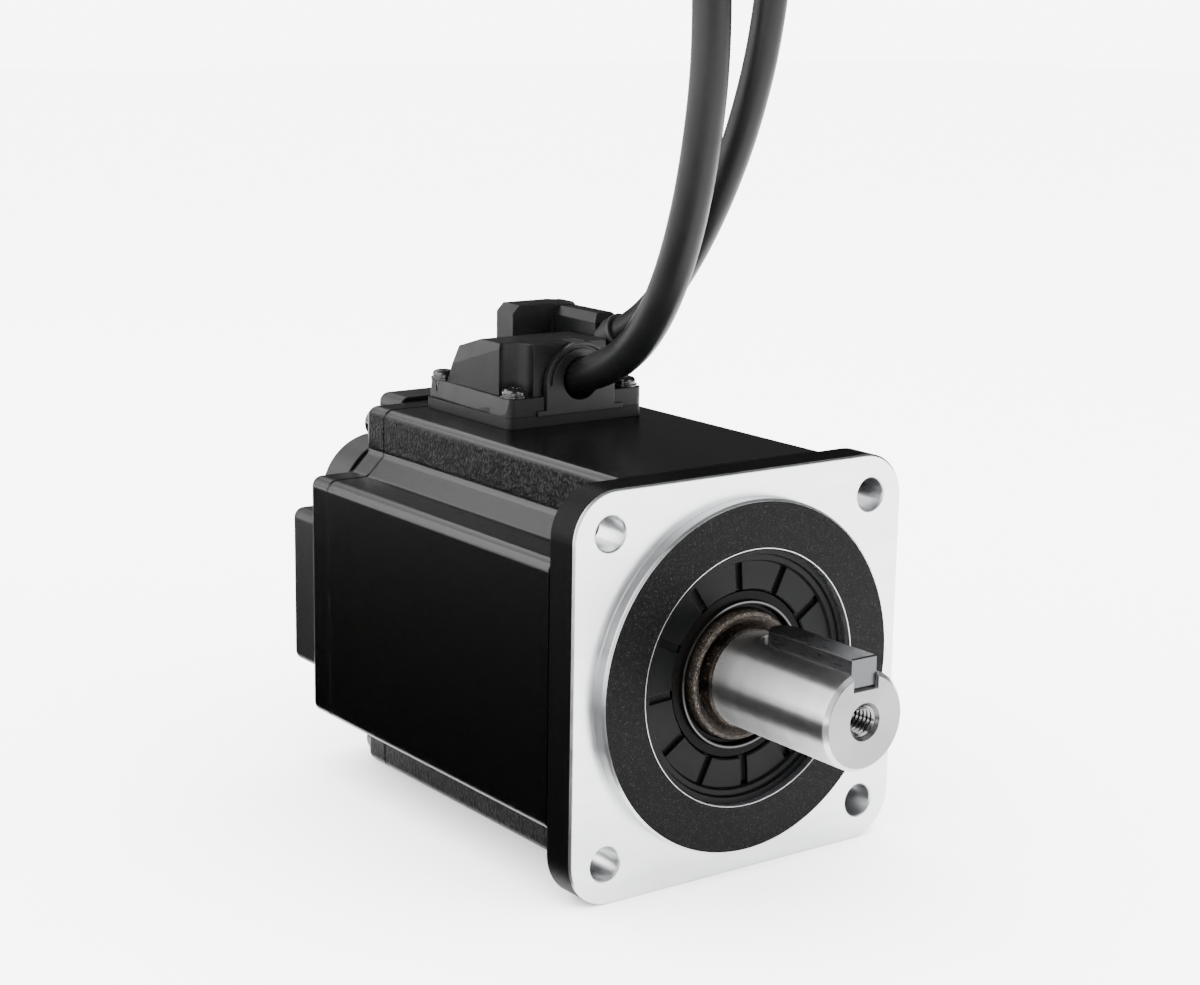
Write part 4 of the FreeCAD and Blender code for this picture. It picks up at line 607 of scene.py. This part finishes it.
def circuit_board():
    """Green solder mask over copper tracks."""
    graph = Graph("board_solder_mask")
    tracks = graph.add(
        "ShaderNodeTexVoronoi", {"Vector": graph.place, "Scale": 330.0}, distance="MANHATTAN",
    ).outputs["Distance"]
    graph.set(
        base=graph.mix(graph.above(tracks, 0.42, 0.03), (0.012, 0.09, 0.035), (0.03, 0.17, 0.07)),
        roughness=0.3,
        normal=graph.bump(tracks, 0.02 * MM),
    )
    return graph.material


def disc_glass():
    """The encoder's disc: clear, with a dark ring of fine lines near its edge."""
    graph = Graph("disc_coated_glass")
    _, y, z = graph.axes()
    radius = graph.length(y, z)
    track = graph.maths(
        "MULTIPLY", graph.above(radius, DISC_TRACK_INNER), graph.below(radius, DISC_TRACK_OUTER),
    )
    angle = graph.maths("ARCTAN2", y, z)
    lines = graph.maths("SINE", graph.maths("MULTIPLY", angle, DISC_LINE_COUNT))
    marks = graph.maths("MULTIPLY", track, graph.above(lines, 0.0, 0.2))
    graph.set(
        base=graph.mix(marks, (0.75, 0.80, 0.85), (0.02, 0.02, 0.02)),
        roughness=0.08,
        alpha=graph.blend(marks, 0.55, 1.0),
    )
    return graph.material


def coat_casings():
    """The flange, the frame with its bracket, and the cover."""
    coat_nodes(flange_finish(), "front_flange")
    coat_nodes(frame_paint(), "stator_frame", "rear_bracket")
    casting = painted_metal(
        "rear_casting_finish", (0.0020, 0.0020, 0.0021),
        roughness=0.40, grain=0.5 * MM, depth=0.03 * MM,
    )
    coat_nodes(casting, "encoder_cover")


def coat_shaft():
    shaft = turned_steel(
        "shaft_ground_steel", (0.40, 0.40, 0.40), roughness=0.32, stain_end=4.5 * MM,
    )
    coat_nodes(shaft, "rotor_shaft")
    coat_nodes(key_steel(), "shaft_key")


def coat_fasteners():
    """Black screws outside and zinc-plated ones at the encoder."""
    screws = painted_metal(
        "screw_black_oxide", (0.002, 0.002, 0.0022),
        roughness=0.18, grain=0.3 * MM, depth=0.004 * MM, specular=0.4,
    )
    coat_nodes(screws, "tie_bolts", "cover_screws", "connector_screws")
    zinc = bright_metal("screw_zinc", (0.60, 0.60, 0.60), roughness=0.25)
    coat_nodes(zinc, "encoder_board_screws", "encoder_hub_screw", "encoder_standoffs", "encoder_hub")


def coat_bearings():
    """The ball bearings, and the other pieces of thin steel beside them."""
    races = turned_steel("bearing_steel", (0.66, 0.66, 0.67), roughness=0.14)
    coat_nodes(
        races, "front_bearing_inner_ring", "front_bearing_outer_ring",
        "rear_bearing_inner_ring", "rear_bearing_outer_ring",
    )
    balls = bright_metal("ball_polished_steel", (0.70, 0.70, 0.71), roughness=0.08)
    coat_nodes(balls, "front_bearing_balls", "rear_bearing_balls")
    pressed = bright_metal("pressed_sheet_steel", (0.50, 0.50, 0.50), roughness=0.3)
    coat_nodes(
        pressed, "front_bearing_cage", "rear_bearing_cage", "front_bearing_shields",
        "rear_bearing_shields", "preload_washer", "seal_spring", "balance_rings",
    )


def coat_seals():
    """The oil seal and the slotted ring round it, the O-rings and the gaskets."""
    coat_nodes(seal_rubber(), "oil_seal")
    o_rings = moulded_plastic("o_ring_rubber", (0.012, 0.012, 0.012), roughness=0.4)
    coat_nodes(o_rings, "front_o_ring", "rear_o_ring")
    ring = moulded_plastic(
        "cover_ring_plastic", (0.0008, 0.0009, 0.0010),
        roughness=0.36, grain=0.4 * MM, depth=0.008 * MM, specular=0.06,
    )
    coat_nodes(ring, "seal_cover_ring")
    gasket = moulded_plastic(
        "gasket_rubber", (0.0016, 0.0016, 0.0017),
        roughness=0.5, grain=0.3 * MM, depth=0.01 * MM, specular=0.15,
    )
    coat_nodes(gasket, "encoder_gasket", "connector_spacer")


def coat_magnetic_circuit():
    """The cores, the coils on their bobbins and the rotor's magnets."""
    coat_nodes(laminated_steel(), "stator_core", "rotor_core")
    coat_nodes(copper_winding(), "stator_coils")
    coat_nodes(moulded_plastic("bobbin_plastic", (0.62, 0.58, 0.48), roughness=0.4), "coil_bobbins")
    coat_nodes(bright_metal("magnet_nickel", (0.34, 0.34, 0.35), roughness=0.28), "rotor_magnets")


def coat_encoder():
    coat_nodes(disc_glass(), "encoder_disc")
    coat_nodes(circuit_board(), "encoder_board")
    coat_nodes(moulded_plastic("chip_plastic", (0.02, 0.02, 0.02), roughness=0.5), "encoder_sensor")


def coat_connectors():
    """The connector boxes and glands on the frame, the wiring inside, and the leads' plugs."""
    shell = moulded_plastic(
        "connector_plastic", (0.0020, 0.0021, 0.0022),
        roughness=0.38, grain=0.4 * MM, depth=0.012 * MM, specular=0.14,
    )
    coat_nodes(shell, "connector_housing", "encoder_housing", "terminal_block")
    soft = moulded_plastic("gland_rubber", (0.0022, 0.0022, 0.0023), roughness=0.46)
    coat_nodes(soft, "power_gland", "encoder_gland")
    coat_nodes(bright_metal("contact_brass", (0.66, 0.46, 0.16), roughness=0.25), "terminal_pins")
    wires = moulded_plastic("wire_insulation", (0.35, 0.03, 0.02), roughness=0.35)
    coat_nodes(wires, "phase_leads")
    plug = moulded_plastic(
        "plug_plastic", (0.0026, 0.0026, 0.0028),
        roughness=0.45, grain=0.4 * MM, depth=0.012 * MM, specular=0.16,
    )
    coat_nodes(plug, "power_plug", "encoder_plug")


# ---------------------------------------------------------------- leads


def lead_curve(name, route, diameter):
    """A lead as a smooth curve with a round section."""
    curve = bpy.data.curves.new(name, "CURVE")
    curve.dimensions = "3D"
    curve.bevel_depth = diameter / 2
    curve.bevel_resolution = 8
    curve.resolution_u = 10
    curve.use_fill_caps = True
    spline = curve.splines.new("NURBS")
    spline.points.add(len(route) - 1)
    for point, place in zip(spline.points, route):
        point.co = (*(Vector(place) * MM), 1.0)
    spline.order_u = 3
    spline.use_endpoint_u = True
    item = bpy.data.objects.new(name, curve)
    bpy.context.scene.collection.objects.link(item)
    return item


def lead_jacket():
    """The leads' soft black jacket, faintly uneven."""
    graph = Graph("lead_jacket")
    skin = graph.noise(0.5 * MM, detail=3.0)
    waves = graph.noise(7 * MM, detail=2.0)
    graph.set(
        base=graph.mix(waves, (0.0018, 0.0018, 0.0020), (0.0028, 0.0028, 0.0030)),
        roughness=graph.spread(waves, 0.3, 0.7, 0.38, 0.46),
        specular=0.14,
        normal=graph.bump(skin, 0.012 * MM),
    )
    return graph.material


def add_leads():
    """The two leads as free cords, each from its gland to its plug."""
    jacket = lead_jacket()
    for use, route, diameter, length, stiffness in (
        ("power", POWER_LEAD_ROUTE, POWER_LEAD_DIAMETER, POWER_LEAD_LENGTH, "stiff"),
        ("encoder", ENCODER_LEAD_ROUTE, ENCODER_LEAD_DIAMETER, ENCODER_LEAD_LENGTH, "medium"),
    ):
        lead = lead_curve(f"{use}_cable", route, diameter)
        lead.data.materials.append(jacket)
        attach(lead, "motor_body")
        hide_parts(f"{use}_lead")


# ---------------------------------------------------------------- thread in the shaft's end


def add_end_thread():
    """The ridge of the M6 thread in the shaft's end, as one closed helical strip, coloured dark as
    painted shade in the bore.
    """
    count = int(THREAD_DEPTH / THREAD_PITCH * THREAD_STEPS)
    mesh = bmesh.new()
    rings = []
    for index in range(count + 1):
        turn = 2 * math.pi * index / THREAD_STEPS
        station = THREAD_MOUTH - THREAD_DEPTH * index / count
        ring = []
        for shift, radius in THREAD_SECTION:
            ring.append(mesh.verts.new((
                station + shift * THREAD_PITCH, radius * math.sin(turn), radius * math.cos(turn),
            )))
        rings.append(ring)
    corners = len(THREAD_SECTION)
    for near, far in zip(rings, rings[1:]):
        for corner in range(corners):
            after = (corner + 1) % corners
            mesh.faces.new((near[corner], near[after], far[after], far[corner]))
    mesh.faces.new(rings[0])
    mesh.faces.new(rings[-1])
    bmesh.ops.recalc_face_normals(mesh, faces=mesh.faces)
    data = bpy.data.meshes.new("shaft_end_thread")
    mesh.to_mesh(data)
    mesh.free()
    thread = bpy.data.objects.new("shaft_end_thread", data)
    bpy.context.scene.collection.objects.link(thread)
    # Painted shade: the thread's steel is coloured dark, as shade inside the bore.
    thread.data.materials.append(bright_metal("thread_steel_painted_shade", (0.14, 0.14, 0.14), roughness=0.22))
    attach(thread, "rotor")


add_camera()
add_world()
add_lights()
add_floor()
add_dark_card()
coat_casings()
coat_shaft()
coat_fasteners()
coat_bearings()
coat_seals()
coat_magnetic_circuit()
coat_encoder()
coat_connectors()
add_leads()
add_end_thread()
